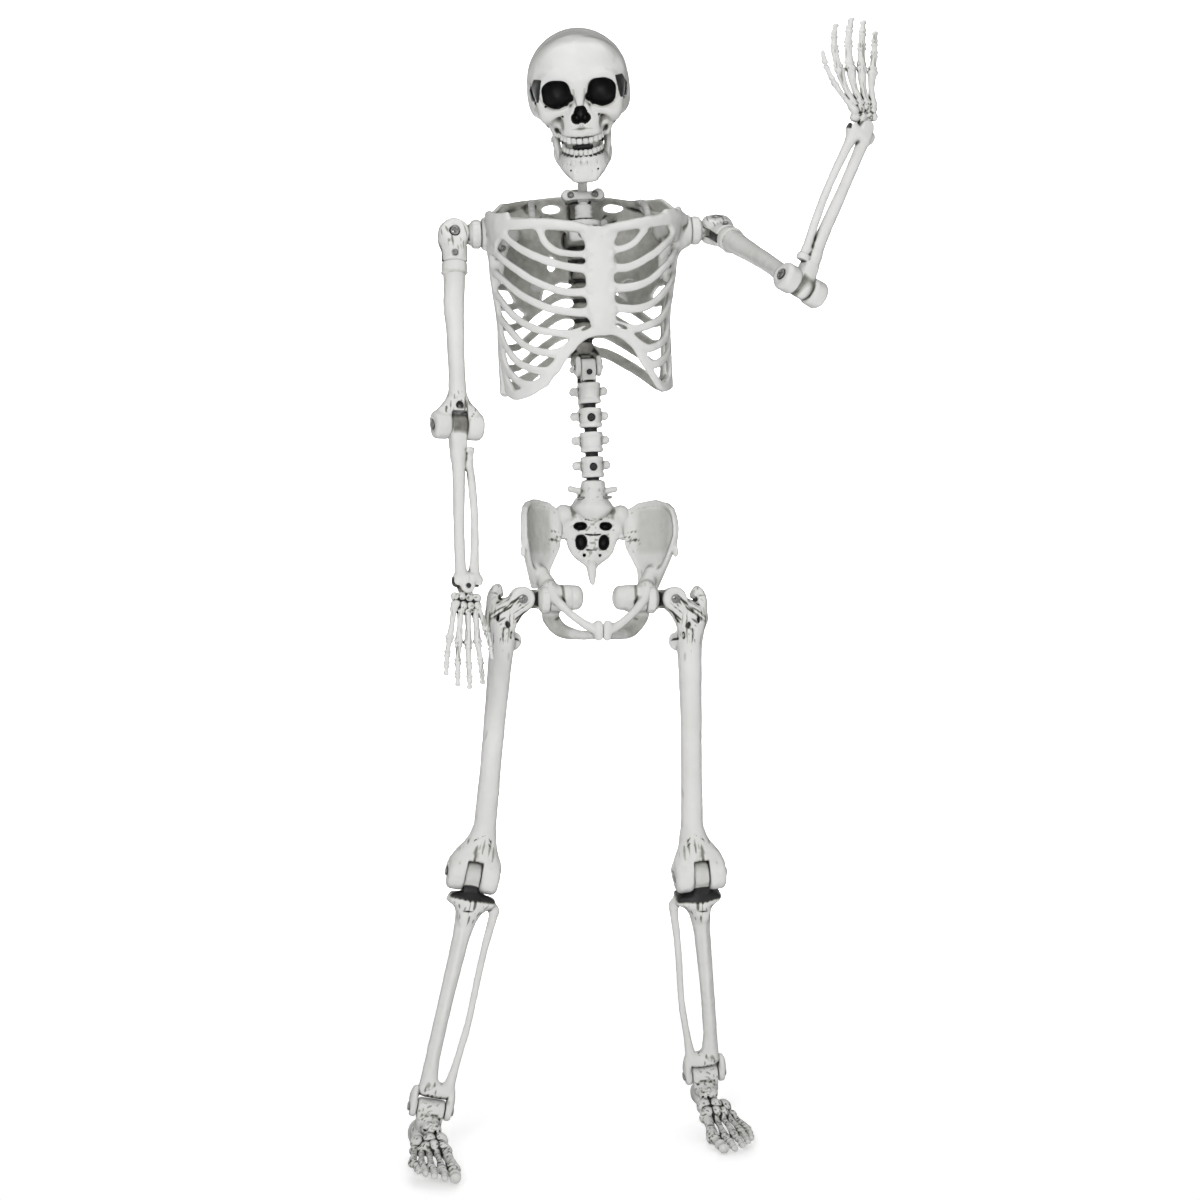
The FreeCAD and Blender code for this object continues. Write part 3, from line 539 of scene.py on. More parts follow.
def colour_ramp(tree, factor, first, *middle, last):
    """Colour ramp from stops of (position, (red, green, blue))."""
    made = node(tree, "ValToRGB", {0: factor})
    stops = made.color_ramp.elements
    for stop, (position, colour) in zip(stops, (first, last)):
        stop.position = position
        stop.color = tuple(colour) + (1,)
    for position, colour in middle:
        stops.new(position).color = tuple(colour) + (1,)
    return made.outputs[0]


def multiply_colours(tree, first, second):
    # sockets 0, 6, 7 and output 2 are the factor, both colours and the colour result
    return node(tree, "Mix", {0: 1.0, 6: first, 7: second}, data_type="RGBA",
                blend_type="MULTIPLY").outputs[2]


def map_to(tree, value, low, high):
    return node(tree, "MapRange", {"Value": value, "To Min": low, "To Max": high}).outputs[0]


def bump(tree, height, strength, distance):
    return node(tree, "Bump", {"Strength": strength, "Distance": distance,
                               "Height": height}).outputs[0]


def bone_material():
    material, tree = new_material("moulded_bone_plastic")
    place = node(tree, "TexCoord").outputs["Object"]
    wash_and_shade = node(tree, "Attribute", attribute_name="wash_and_shade").outputs["Fac"]
    medium = noise(tree, place, Scale=95.0, Detail=5.0)
    broad = noise(tree, place, Scale=22.0, Detail=3.0)
    fine = noise(tree, place, Scale=620.0, Detail=4.0, Roughness=0.6)
    # two noises break the edge of the dark wash and painted shade, and none shows where there is
    # neither
    amount = wash_and_shade
    for pattern, strength in ((medium, 0.60), (broad, 0.40)):
        shifted = calc(tree, "SUBTRACT", pattern, 0.5)
        scaled = calc(tree, "MULTIPLY", shifted, strength)
        where = calc(tree, "MULTIPLY", wash_and_shade, 1.1, True)
        amount = calc(tree, "ADD", amount, calc(tree, "MULTIPLY", scaled, where))
    amount = calc(tree, "MULTIPLY", amount, calc(tree, "MULTIPLY", wash_and_shade, 6.0, True), True)
    # the dark wash and the painted shade both take the bone colour down towards black
    washed_and_shaded = colour_ramp(
        tree, amount, (0.06, (0.80, 0.80, 0.79)), (0.22, (0.60, 0.60, 0.575)),
        (0.42, (0.27, 0.265, 0.24)), (0.66, (0.070, 0.068, 0.060)),
        (0.85, (0.020, 0.020, 0.019)), last=(1.0, (0.010, 0.010, 0.010)))
    # faint mottling of the clean plastic
    mottle = colour_ramp(tree, broad, (0.30, (0.93, 0.93, 0.915)), last=(0.70, (1, 1, 1)))
    colour = multiply_colours(tree, washed_and_shaded, mottle)
    # painted shade: darker where the surface turns away, as the sides of each piece fall off in
    # shade
    facing = node(tree, "LayerWeight", {"Blend": 0.5}).outputs["Facing"]
    edge = colour_ramp(tree, facing, (0.30, (1, 1, 1)), (0.68, (0.66, 0.66, 0.65)),
                       last=(0.98, (0.16, 0.16, 0.155)))
    colour = multiply_colours(tree, colour, edge)
    # mould texture: fine grain plus soft pitting
    pits = node(tree, "TexVoronoi", {"Scale": 240.0, "Vector": place}).outputs["Distance"]
    grain = calc(tree, "MULTIPLY", fine, 0.5)
    height = calc(tree, "ADD", grain, calc(tree, "MULTIPLY", pits, 0.35))
    height = calc(tree, "ADD", height, calc(tree, "MULTIPLY", medium, 1.3))
    shader = node(tree, "BsdfPrincipled", {
        "Base Color": colour, "Roughness": map_to(tree, medium, low=0.38, high=0.60),
        "Specular IOR Level": 0.42,
        "Normal": bump(tree, height, strength=0.35, distance=0.0008)})
    node(tree, "OutputMaterial", {0: shader.outputs[0]})
    return material


def metal_material(name, base, smoothest, roughest, metallic):
    material, tree = new_material(name)
    place = node(tree, "TexCoord").outputs["Object"]
    grain = noise(tree, place, Scale=260.0, Detail=5.0)
    shader = node(tree, "BsdfPrincipled", {
        "Base Color": colour_ramp(tree, grain, (0.32, [c * 0.62 for c in base]),
                                  last=(0.66, base)),
        "Roughness": map_to(tree, grain, smoothest, roughest),
        "Metallic": metallic,
        "Normal": bump(tree, grain, strength=0.2, distance=0.0003)})
    node(tree, "OutputMaterial", {0: shader.outputs[0]})
    return material


BONE = bone_material()
ZINC = metal_material("zinc_screw", base=(0.36, 0.36, 0.35), smoothest=0.30, roughest=0.52,
                      metallic=1.0)
DARK_PIN = metal_material("black_pin", base=(0.045, 0.045, 0.045), smoothest=0.35,
                          roughest=0.6, metallic=0.2)


# ------------------------------------------------------------------ placing pieces
def emit(name, body, mesh, frame=None, mirror=False, material=BONE):
    """Make the piece that replaces the CAD node of its name, riding on a body."""
    points, faces, wash_and_shade = mesh
    if mirror:
        points = points * np.array([-1.0, 1, 1])
        faces = faces[:, ::-1]
    frame = FRAMES[body] if frame is None else frame
    points = (points @ frame[:3, :3].T + frame[:3, 3]) / 1000.0
    data = bpy.data.meshes.new(name)
    count, corners = faces.shape
    data.vertices.add(len(points))
    data.vertices.foreach_set("co", points.astype(np.float32).ravel())
    data.loops.add(count * corners)
    data.loops.foreach_set("vertex_index", faces.astype(np.int32).ravel())
    data.polygons.add(count)
    data.polygons.foreach_set("loop_start",
                              np.arange(0, count * corners, corners, dtype=np.int32))
    data.polygons.foreach_set("use_smooth", np.ones(count, bool))
    data.update(calc_edges=True)
    data.validate()
    attribute = data.attributes.new("wash_and_shade", "FLOAT", "POINT")
    attribute.data.foreach_set("value", np.asarray(wash_and_shade, np.float32))
    piece = bpy.data.objects.new(name, data)
    bpy.context.scene.collection.objects.link(piece)
    data.materials.append(material)
    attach(piece, body)
    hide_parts(name)


def emit_halves(name, body, vol, split, paints=(), frame=None, front_extra=None):
    for end, keep in (("front", -1), ("rear", 1)):
        mesh = vol.half_skin(split + keep * SEAM, keep, paints)
        if keep < 0 and front_extra:
            mesh = joined(mesh, front_extra)
        emit(f"{name}_{end}", body, mesh, frame)


# ------------------------------------------------------------------ leg bones
# Limb bones have their outer side at +x and are mirrored for the right.
def femur():
    vol = Volume((-46, -34, -438), (54, 34, 28), 1.5)
    # head clevis, neck and trochanters
    vol.drum((0, 0, 0), "y", 18.2, 18.6, 6, 0)
    vol.cone((2, 0, -4), (32, 2, -30), 15.5, 17.5, 7)
    vol.cone((0, 0, -8), (20, 0, -50), 12, 16.0, 8)
    vol.balls(((41, 4, -8), (9.5, 14, 20), 6), ((37, 6, 9), (7, 10, 7.5), 5),
              ((30, 6, 4), (6, 9, 5), 5))
    vol.ball((23, -2, 6), (7, 16, 7), 3, CUT)
    vol.ball((-3, 9, -62), (9, 9, 13), 9)
    vol.tube([(27, 1, -32), (18, 0, -62), (14, -2, -110), (8, -4, -180), (1, -4, -260),
              (-5, -2, -330), (-6, 0, -372)], [19.5, 19.5, 17.4, 15.8, 15.6, 16.6, 19], 6)
    # rear ridge along the shaft
    vol.tube([(16, 13, -80), (9, 11, -160), (1, 10.5, -250), (-4, 13, -330)],
             [4.2, 3.6, 3.4, 4.5], 5)
    # flare and condyles
    vol.cone((-5, -1, -348), (-19, -1, -384), 15, 18, 9)
    vol.cone((-5, -1, -348), (17, -1, -384), 15, 18, 9)
    for side in BOTH:
        vol.drum((side * 23.5 - 1, 0, -FEMUR), "x", 25.2, 14.0, 9, 5)
        vol.ball((side * 34 - 1, 3, -400), (6.5, 13, 14), 5)
    vol.ball((0, -17, -388), (19, 8, 16), 6)
    vol.tube([(-1, -26, -372), (-1, -25.5, -392)], [5, 6], 4, CUT)
    # knee slot and bolt recesses
    vol.box((0, 0, -426.6), (11.5, 60, 42.5), 2, 1.2, CUT)
    for side in BOTH:
        vol.drum((side * 40 - 1, 0, -FEMUR), "x", 9.5, 4.5, 1, 1, CUT)
    # head slot
    vol.box((-15, 0, 20), (31, 6.5, 80), 1, 1.0, CUT)
    # shallow seams and pits
    vol.drum((33, 19, -14), "y", 2.6, 4, 1, 1.5, CUT)
    for z in (-345, -352, -359):
        vol.tube([(-20, -16, z - 12), (-6, -19, z), (10, -16, z - 12)], [0.9, 1.0, 0.9], 1.0, CUT)
    for i, (z, length) in enumerate(((-46, 30), (-52, 34), (-62, 26))):
        vol.tube([(6 + 8 * i, -19, z), (9 + 7 * i, -19.5, z - length)], [1.3, 0.6], 1.2, CUT)
    # furrows along the neck, and the pits below it
    for i in range(6):
        off = -12 + 5.0 * i
        vol.tube([(5 + 0.72 * off + 2, -18.4, -8 + 0.7 * off + 4),
                  (16 + 0.5 * off, -19.2, -20 + 0.6 * off),
                  (30 + 0.4 * off, -18.6, -32 + 0.5 * off)], [1.5, 1.2, 0.7], 1.3, CUT)
    vol.ball((14, -18, -40), (4.6, 5, 6.4), 1.5, CUT, turn("y", 35))
    vol.ball((31, -17, -34), (2.4, 4, 4.6), 1.2, CUT)
    vol.ball((7, -14, -54), (2.6, 5, 6.0), 1.2, CUT)
    vol.noise(0.45, 24, 11)
    vol.noise(0.28, 7, 12)

    def slot_shade(x, y, z, wash_and_shade):
        # painted shade inside the head slot and the knee slot
        head = 0.55 * ease(7.2, 3.0, np.abs(y)) * ease(-56, -40, z) * (x < 15)
        return wash_and_shade + head + 0.45 * ease(12.6, 11.0, np.abs(x)) * ease(-378, -388, z)
    return vol.skin(
        slot_shade, grime((16, -12, -18), 36, 0.75, 31, 4.0, (0.72, 0, -0.7)),
        grime((26, 0, -44), 40, 0.55, 32, 5.0, (0.1, 0, 1)), grime((34, 4, 4), 22, 0.4, 33, 3.5),
        grime((-2, 0, -372), 38, 0.5, 34, 5.0, (0, 0, 1)), streaks(5, 0.24))


def shin_bones():
    vol = Volume((-52, -34, -362), (42, 34, 24), 1.4)
    # knee lobe and the plateau under it
    vol.drum((0, 0, 0), "x", 19.6, 10.9, 3, 0)
    vol.box((0, 0, -20), (10.6, 14, 16), 3, 3)
    vol.ball((-5, 0, -39), (37, 21.5, 11.5), 4)
    vol.box((-5, 0, -35), (33, 17, 6), 5, 4)
    vol.balls(((-24, 0, -33), (14, 16, 6), 3), ((14, 0, -33), (14, 16, 6), 3))
    vol.cone((-4, -1, -44), (0, -1, -78), 22, 12.5, 9)
    vol.ball((2, -14, -60), (8, 7, 13), 7)
    vol.tube([(-1, -1, -70), (3, -2, -130), (7, -2, -200), (10, -1, -270), (9, 0, -312)],
             [13, 11.2, 10.2, 10.2, 13.5], 5)
    # shin crest
    vol.tube([(1, -13, -72), (4, -11.5, -150), (8, -10.5, -230), (10, -9, -290)],
             [3.2, 2.8, 2.6, 2.6], 5)
    # thin bone on the inner side
    vol.ball((-40, 1, -47), (8, 8, 9), 4)
    vol.tube([(-41, 1, -50), (-36, 2, -110), (-34, 2, -160), (-32, 2, -215), (-25, 1, -275),
              (-20, 0, -312)], [6.6, 4.9, 4.7, 4.7, 5.2, 8.5], 3, steps=4)
    # lower block and ankle knobs
    vol.ball((-4, 0, -316), (25, 14, 13), 7)
    for side in BOTH:
        vol.drum((side * 25.0, 0, -SHIN), "x", 14, 5.0, 3.5, 0)
        vol.ball((side * 26.5, 0, -330), (6.5, 13.5, 19), 4)
    vol.box((0, 0, -349.2), (20.6, 40, 24.0), 3, 1.2, CUT)
    for side in BOTH:
        vol.drum((side * 33.5, 0, -SHIN), "x", 7.6, 4.2, 1, 0.8, CUT)
    vol.tube([(-22, -12, -318), (-12, -15.5, -309), (4, -15, -311), (16, -13.5, -318)],
             1.2, 1.2, CUT)
    vol.tube([(-30, -17, -45), (-12, -22, -50), (10, -20, -52)], 1.2, 1.4, CUT)
    vol.noise(0.4, 22, 21)
    vol.noise(0.28, 7, 22)

    def knee(x, y, z, wash_and_shade):
        # painted shade round the knee lobe and in the gap under the thigh bone
        out = np.hypot(y, z)
        return (wash_and_shade + 0.16 * ease(24, 20, out) * ease(12.5, 9.0, np.abs(x))
                + 1.0 * ease(-38, -32, z) * ease(20.0, 21.5, out) * ease(36, 30, np.abs(x + 5)))

    def ankle(x, y, z, wash_and_shade):
        # painted shade inside the ankle slot
        return wash_and_shade + 0.6 * ease(21.8, 19.8, np.abs(x)) * ease(-318, -324, z)
    return vol.skin(knee, grime((-4, -8, -46), 34, 0.55, 51, 4.5, (0, 0, 1)),
                    grime((0, -6, -318), 26, 0.45, 52, 4.5, (0, 0, 1)), ankle, streaks(8, 0.18))


# metatarsal: x and y behind and in front (x, x, y, y), its two radii;
# toe: first bone's length, radius and sideways step
TOES = [(-19, -24, -66, -113, 8.4, 9.6, 17, 7.6, 1.5), (-6, -7.5, -68, -118, 5.0, 6.0, 12, 4.6, 0.6),
        (5, 7, -68, -115, 4.9, 5.8, 11, 4.4, 0.4), (15, 20, -64, -109, 4.9, 5.8, 10, 4.2, -0.3),
        (23.5, 31, -58, -101, 5.2, 5.8, 9, 4.2, -1.0)]


def foot(toe_turn):
    vol = Volume((-48, -170, -72), (66, 66, 22), 1.35)
    rotation = turn("z", toe_turn)[:3, :3]

    def at(x, y, z):
        return tuple(rotation @ np.array([x, y, z], float))
    vol.drum((0, 0, 0), "x", 14.7, 19.6, 4, 0)
    vol.balls((at(0, -4, -20), (19, 19, 17), 6), (at(-2, -22, -24), (15, 14, 12), 5),
              # heel
              (at(2, 16, -42), (17, 26, 19), 8), (at(3, 38, -46), (16, 17, 18), 9))
    vol.tube([at(2, 8, -30), at(3, 34, -38)], [15, 13], 8)
    # instep blocks
    vol.balls((at(-14, -38, -36), (12, 13, 13), 3), (at(2, -42, -36), (10, 13, 12), 2.5),
              (at(17, -36, -42), (11, 16, 11), 2.5), (at(-15, -58, -40), (10, 12, 11), 2.2),
              (at(-2, -60, -39), (8, 11, 10.5), 2.2), (at(9, -60, -42), (8, 11, 9.5), 2.2))
    low = -55.0
    for i, (x0, x1, y0, y1, radius0, radius1, first, thick, step) in enumerate(TOES):
        high = -43 - i * 1.6
        vol.ball(at(x0, y0 + 3, high), (radius0 + 2.2, 8, radius0 + 2.2), 2)
        vol.tube([at(x0, y0, high), at((x0 + x1) / 2, (y0 + y1) / 2, (high + low) / 2 + 1.5),
                  at(x1, y1 + 4, low + 1)], [radius0, radius0 * 0.82, radius1], 2.0)
        vol.ball(at(x1, y1, low), (radius1 + 1.4, 6.5, radius1 + 0.8), 1.6)
        # toe bones: two in the big toe, three in the others
        x, y = x1, y1 - 8.0
        for j in range(3 if i else 2):
            length = first if j == 0 else first * (0.62 if i else 0.85)
            z = low + ((1.0, 2.2, -0.5)[j] if i else 0.5)
            vol.ball(at(x, y, z), (thick + 0.9, 3.8, thick + 0.6), 0.8)
            vol.cone(at(x, y, z), at(x + step, y - length + 2, z - 1),
                     thick * 0.80, thick * 0.74, 1.2)
            vol.ball(at(x + step, y - length + 1.5, z - 1), (thick + 0.4, 3.4, thick + 0.2), 1.2)
            y -= length + 2.6
            x += step
    # cracks between the instep bones
    for crack in ([(-26, -48, -30), (-12, -50, -24), (4, -52, -25), (18, -48, -31)],
                  [(-24, -28, -34), (-8, -30, -22), (12, -27, -26), (25, -22, -34)],
                  [(-6, -30, -24), (-6, -46, -25), (-9, -66, -30)],
                  [(8, -30, -25), (9, -48, -28), (5, -68, -31)]):
        vol.tube([at(*point) for point in crack], 1.7, 1.6, CUT)
    vol.drum(at(22, 10, -34), "x", 4, 6, 2, 2, CUT)
    vol.keep_side("z", -63.2, +1)
    vol.noise(0.35, 16, 31)
    vol.noise(0.25, 6, 32)
    # painted shade: darker towards the sole, with the hollows made darker too
    return vol.skin(lambda x, y, z, wash_and_shade: wash_and_shade * 1.9 + 0.14 * ease(-20, -50, z),
                    grime((0, -80, -45), 75, 0.5, 63, 3.4), grime((0, -12, -12), 34, 0.4, 64, 3.6))


# ------------------------------------------------------------------ arm bones
def humerus():
    vol = Volume((-44, -30, -312), (44, 30, -36), 1.4)
    vol.drum((0, 0, -49), "z", 18.2, 7.0, 3, 0)
    vol.tube([(0, 0, -50), (1, 0, -80), (1, -1, -140), (0, -1, -200), (-1, 0, -238),
              (-1, 0, -262)], [17.2, 15.6, 13.2, 12.2, 13.2, 16.5], 5)
    vol.ball((9, -2, -105), (8, 9, 26), 8)
    vol.cone((0, 0, -246), (-22, 0, -268), 12, 12.5, 8)
    vol.cone((0, 0, -246), (21, 0, -268), 12, 12.5, 8)
    for side in BOTH:
        vol.drum((side * 24, 0, -HUMERUS), "x", 19.6, 12.8, 7, 4)
        vol.ball((side * 34, 1, -277), (6, 11, 12), 5)
    vol.ball((0, -8, -262), (12, 8, 8), 4)
    vol.box((0, 0, -300), (11.6, 50, 35.5), 2.5, 1.2, CUT)
    vol.drum((0, -17, -256), "y", 6, 7, 3, 3, CUT)
    for side in BOTH:
        vol.drum((side * 38.6, 0, -HUMERUS), "x", 8.0, 3.4, 1, 0.8, CUT)
    for side in BOTH:
        vol.tube([(side * 8, -14, -246), (side * 17, -15, -256), (side * 27, -15, -262)],
                 [0.9, 1.2, 0.8], 1.2, CUT)
    vol.drum((0, 0, -57.5), "z", 20, 0.9, 0.4, 0.8)
    vol.noise(0.4, 20, 41)
    vol.noise(0.26, 7, 42)

    def slot(x, y, z, wash_and_shade):
        # painted shade inside the elbow slot
        return wash_and_shade + 0.85 * ease(13.2, 10.8, np.abs(x)) * ease(-262, -270, z)
    return vol.skin(slot, grime((0, -6, -262), 34, 0.55, 65, 4.5, (0, 0, 1)), streaks(15, 0.18))


def arm_head():
    vol = Volume((-28, -27, -48), (30, 27, 26), 1.15)
    vol.drum((0, 0, 0), "y", 21.4, 19.6, 8, 0)
    vol.drum((0, 0, -21), "z", 18.8, 21, 4, 5)
    vol.ball((7, 0, -4), (18, 21.5, 24), 4)
    vol.box((0, 0, 23), (60, 6.5, 40), 1.5, 1.0, CUT)
    vol.drum((0, -20.5, 0), "y", 8.0, 3.4, 1, 0.8, CUT)
    vol.drum((0, 20.5, 0), "y", 7.4, 2.6, 1, 0.8, CUT)
    vol.drum((0, -20.5, -32), "y", 5.6, 3.4, 1, 0.8, CUT)
    vol.tube([(-18, -9, -38), (-6, -19.5, -39), (8, -19, -37), (18, -8, -38)], 0.9, 1.2, CUT)
    vol.keep_side("z", -41.8, +1)
    vol.noise(0.3, 12, 51)
    vol.noise(0.25, 6, 52)
    # painted shade inside the slot
    return vol.skin(lambda x, y, z, wash_and_shade: wash_and_shade + 0.8 * ease(7.6, 5.6, np.abs(y)),
                    grime((0, -14, -6), 30, 0.45, 66, 4.5, (0.3, 0, 1)))


def knuckle(reach):
    """Round flange with a hinge lobe standing out to reach."""
    vol = Volume((-2, -26, -26), (reach + 24, 26, 26), 1.15)
    vol.drum((6.6, 0, 0), "x", 21.0, 6.2, 3, 0)
    vol.ball((11, 0, 0), (9, 18.5, 18.5), 3)
    vol.box((reach * 0.6, 0, 0), (reach * 0.42, 5.8, 14), 2, 3)
    vol.drum((reach, 0, 0), "y", 14.8, 5.9, 1.5, 1)
    for degrees in range(0, 360, 30):
        cos, sin = math.cos(math.radians(degrees)), math.sin(math.radians(degrees))
        vol.tube([(4, 21.4 * cos, 21.4 * sin), (11, 21.0 * cos, 21.0 * sin)], 1.0, 0.9, CUT)
    vol.noise(0.25, 10, 61)
    # painted shade towards the hinge lobe and round the middle of the flange, where they sit inside
    # other pieces
    return vol.skin(lambda x, y, z, wash_and_shade: (wash_and_shade + 0.45 * ease(15, 22, x)
                                           + 0.5 * ease(14, 6, np.hypot(y, z))))


def forearm_bones():
    vol = Volume((-32, -22, -256), (32, 24, 22), 1.25)
    vol.drum((0, 0, 0), "x", 16.8, 10.8, 3, 0)
    vol.ball((0, 9, 4), (9.5, 11, 15), 4)
    vol.box((0, 0, -18), (10.2, 12, 15), 4, 3)
    # thick bone
    vol.cone((1, 1, -14), (2, 0, -46), 13, 10.5, 6)
    vol.tube([(1, 0, -40), (3, -1, -90), (6, -1, -150), (7, 0, -205), (6, 0, -226)],
             [10.8, 8.8, 8.0, 8.2, 10.5], 4)
    # thin bone with its round head
    vol.drum((-14, 0, -36), "z", 9.4, 4.4, 2, 1.5)
    vol.drum((-14, 0, -44), "z", 6.4, 8.0, 3, 3)
    vol.tube([(-14, 0, -46), (-17, -1, -90), (-18, -1, -140), (-15, 0, -195), (-12, 0, -226)],
             [5.8, 5.9, 5.6, 6.4, 9.5], 3)
    vol.ball((-13, -4, -60), (5, 5, 9), 4)
    # wrist
    vol.ball((-3, 0, -226), (22, 11.6, 10), 5)
    vol.drum((0, 0, -FOREARM), "y", 10.0, 11.4, 3, 1)
    vol.box((0, 0, -230), (10, 11.2, 9), 3, 3)
    vol.balls(((14, 0, -230), (7, 9, 9), 4), ((-19, 0, -230), (6, 9, 9), 4))
    vol.box((0, 0, -248), (40, 5.5, 22.5), 1.5, 0.8, CUT)
    vol.tube([(-4, -11, -212), (-3, -12.5, -222), (-3, -12, -228)], [1.4, 1.8, 1.0], 1.4, CUT)
    for side in BOTH:
        vol.drum((side * 14.4, 0, 0), "x", 7.0, 4.4, 1, 0.7, CUT)
    vol.drum((0, -12.6, -FOREARM), "y", 3.9, 2.4, 0.6, 0.6, CUT)
    vol.noise(0.32, 18, 71)
    vol.noise(0.22, 6, 72)

    def joints(x, y, z, wash_and_shade):
        # painted shade on the elbow lobe and in the wrist slot, where they sit inside other pieces
        wash_and_shade = wash_and_shade + 0.7 * ease(22, 14, np.hypot(y, z)) * ease(12, 9.0, np.abs(x))
        return wash_and_shade + 0.7 * ease(6.8, 5.0, np.abs(y)) * ease(-222, -228, z)
    return vol.skin(joints, streaks(25, 0.16))


# carpal pebbles in two rows: x, z, radius in x, radius in z
CARPALS = [(-15, -14, 8.0, 6.6), (-4, -15, 7.0, 6.8), (7, -14, 6.8, 6.6), (16.5, -15, 6.0, 6.4),
           (-16.5, -26, 7.0, 6.6), (-6, -27, 6.6, 7.0), (4.5, -28, 7.0, 7.4),
           (15, -26.5, 7.6, 7.0)]
# fingers from little (outer) to index: (x, z) of the five joints and ends, then the radius
FINGERS = [((17.5, -33), (23, -74), (27, -98), (28.5, -114), (29, -127), 4.9),
           ((7.5, -35), (10, -79), (11.5, -108), (12, -127), (11.5, -141), 5.3),
           ((-3, -35), (-4, -80), (-5, -111), (-5.5, -131), (-5.5, -144), 5.4),
           ((-13.5, -34), (-18, -76), (-21.5, -104), (-23.5, -122), (-24.5, -135), 5.2)]
# straight cracks between carpals: x, z of both ends
CARPAL_CRACKS = [(-9.5, -9, -10, -20), (1.5, -9, 1, -21), (12, -9, 11.5, -20),
                 (-11.5, -21, -11, -33), (-1, -21, -1, -34), (10, -21, 9.5, -33)]


def hand():
    vol = Volume((-58, -22, -152), (46, 22, 16), 1.0)
    vol.drum((0, 0, 0), "y", 9.7, 4.8, 1.6, 0)
    vol.box((0, 0, -10), (9.2, 4.6, 8), 2, 2)
    for x, z, wide, tall in CARPALS:
        vol.ball((x, -0.5, z), (wide, 6.8, tall), 1.0)
    vol.box((0, 0.5, -22), (17, 3.4, 12), 3, 2.0)
    for base, knuckle_at, *ends, radius in FINGERS:
        start, end = (base[0], 0, base[1]), (knuckle_at[0], -1.0, knuckle_at[1])
        middle = ((base[0] + knuckle_at[0]) / 2, -2.0, (base[1] + knuckle_at[1]) / 2)
        vol.ball(start, (radius + 1.6, 5.6, 5.0), 1.2)
        vol.tube([start, middle, end], [radius * 0.95, radius * 0.78, radius * 1.05], 1.4)
        vol.ball(end, (radius + 1.7, 5.8, 5.2), 1.0)
        last, y = knuckle_at, -1.0
        for i, tip in enumerate(ends):
            along = np.array(tip) - np.array(last)
            along = along / np.hypot(*along)
            near = np.array(last) + along * (6.6 if i == 0 else 3.4)
            far = np.array(tip) - along * (2.2 if i < 2 else 0.0)
            scale = (1.0, 0.9, 0.78)[i]
            y0, y1 = y - 0.8, y - (1.8, 1.6, 1.2)[i]
            vol.ball((near[0], y0, near[1]), ((radius + 0.9) * scale, 4.6 * scale, 3.6), 0.7)
            vol.cone((near[0], y0, near[1]), (far[0], y1, far[1]),
                     radius * 0.80 * scale, radius * 0.70 * scale, 1.2)
            vol.ball((far[0], y1, far[1]),
                     ((radius + 0.6) * scale, 4.2 * scale, 3.2 if i < 2 else 3.6), 1.0)
            last, y = tip, y1
    # thumb
    vol.ball((-17, 1, -24), (6.8, 6.4, 6.2), 1.4)
    vol.tube([(-17, 1, -24), (-24, -1, -41), (-30, -2, -58)], [4.6, 3.9, 4.6], 1.6)
    vol.ball((-30, -2, -58), (5.8, 5.4, 4.8), 1.0)
    vol.cone((-31.6, -2.4, -65), (-35.4, -3.8, -79), 4.0, 3.5, 0.9)
    vol.balls(((-31.6, -2.4, -65), (5.4, 5.0, 3.6), 0.9),
              ((-35.6, -3.9, -80), (4.8, 4.6, 3.4), 0.9),
              ((-36.6, -4.6, -86.5), (4.8, 4.4, 3.2), 0.8))
    vol.cone((-36.6, -4.6, -87), (-38, -6, -100), 3.6, 3.0, 0.9)
    # cracks between the carpals, front and back
    cracks = [[(-24, -7, -20), (-8, -7.5, -21.5), (8, -7.5, -21), (23, -6.5, -20.5)]]
    cracks += [[(x0, -7.5, z0), (x1, -7.5, z1)] for x0, z0, x1, z1 in CARPAL_CRACKS]
    for crack in cracks:
        vol.tube(crack, 1.5, 1.0, CUT, steps=3)
        vol.tube([(x, -y, z) for x, y, z in crack], 1.4, 1.0, CUT, steps=3)
    vol.drum((0, -5.6, 0), "y", 4.0, 1.4, 0.5, 0.5, CUT)
    vol.noise(0.22, 9, 81)
    # painted shade on the wrist tongue that sits in the forearm's slot, with the hollows made darker
    # too
    return vol.skin(
        lambda x, y, z, wash_and_shade: wash_and_shade * 1.7 + 0.5 * ease(-10.5, -7.0, z) * (np.abs(y) < 5.2),
        grime((0, 0, -85), 75, 0.34, 61, 3.6, (0, 0, 1)), grime((0, -4, -22), 26, 0.5, 62, 2.6))


def curl(mesh):
    """Bow a hand's bones towards the thumb side, most at the index finger."""
    points = mesh[0].copy()
    t = np.clip((-points[:, 2] - 22) / 122.0, 0, 1.1)
    bow = np.clip(9 + 0.40 * (22 - points[:, 0]), 6, 27)
    points[:, 0] -= bow * np.sin(0.8 * math.pi * t)
    return points, mesh[1], mesh[2]


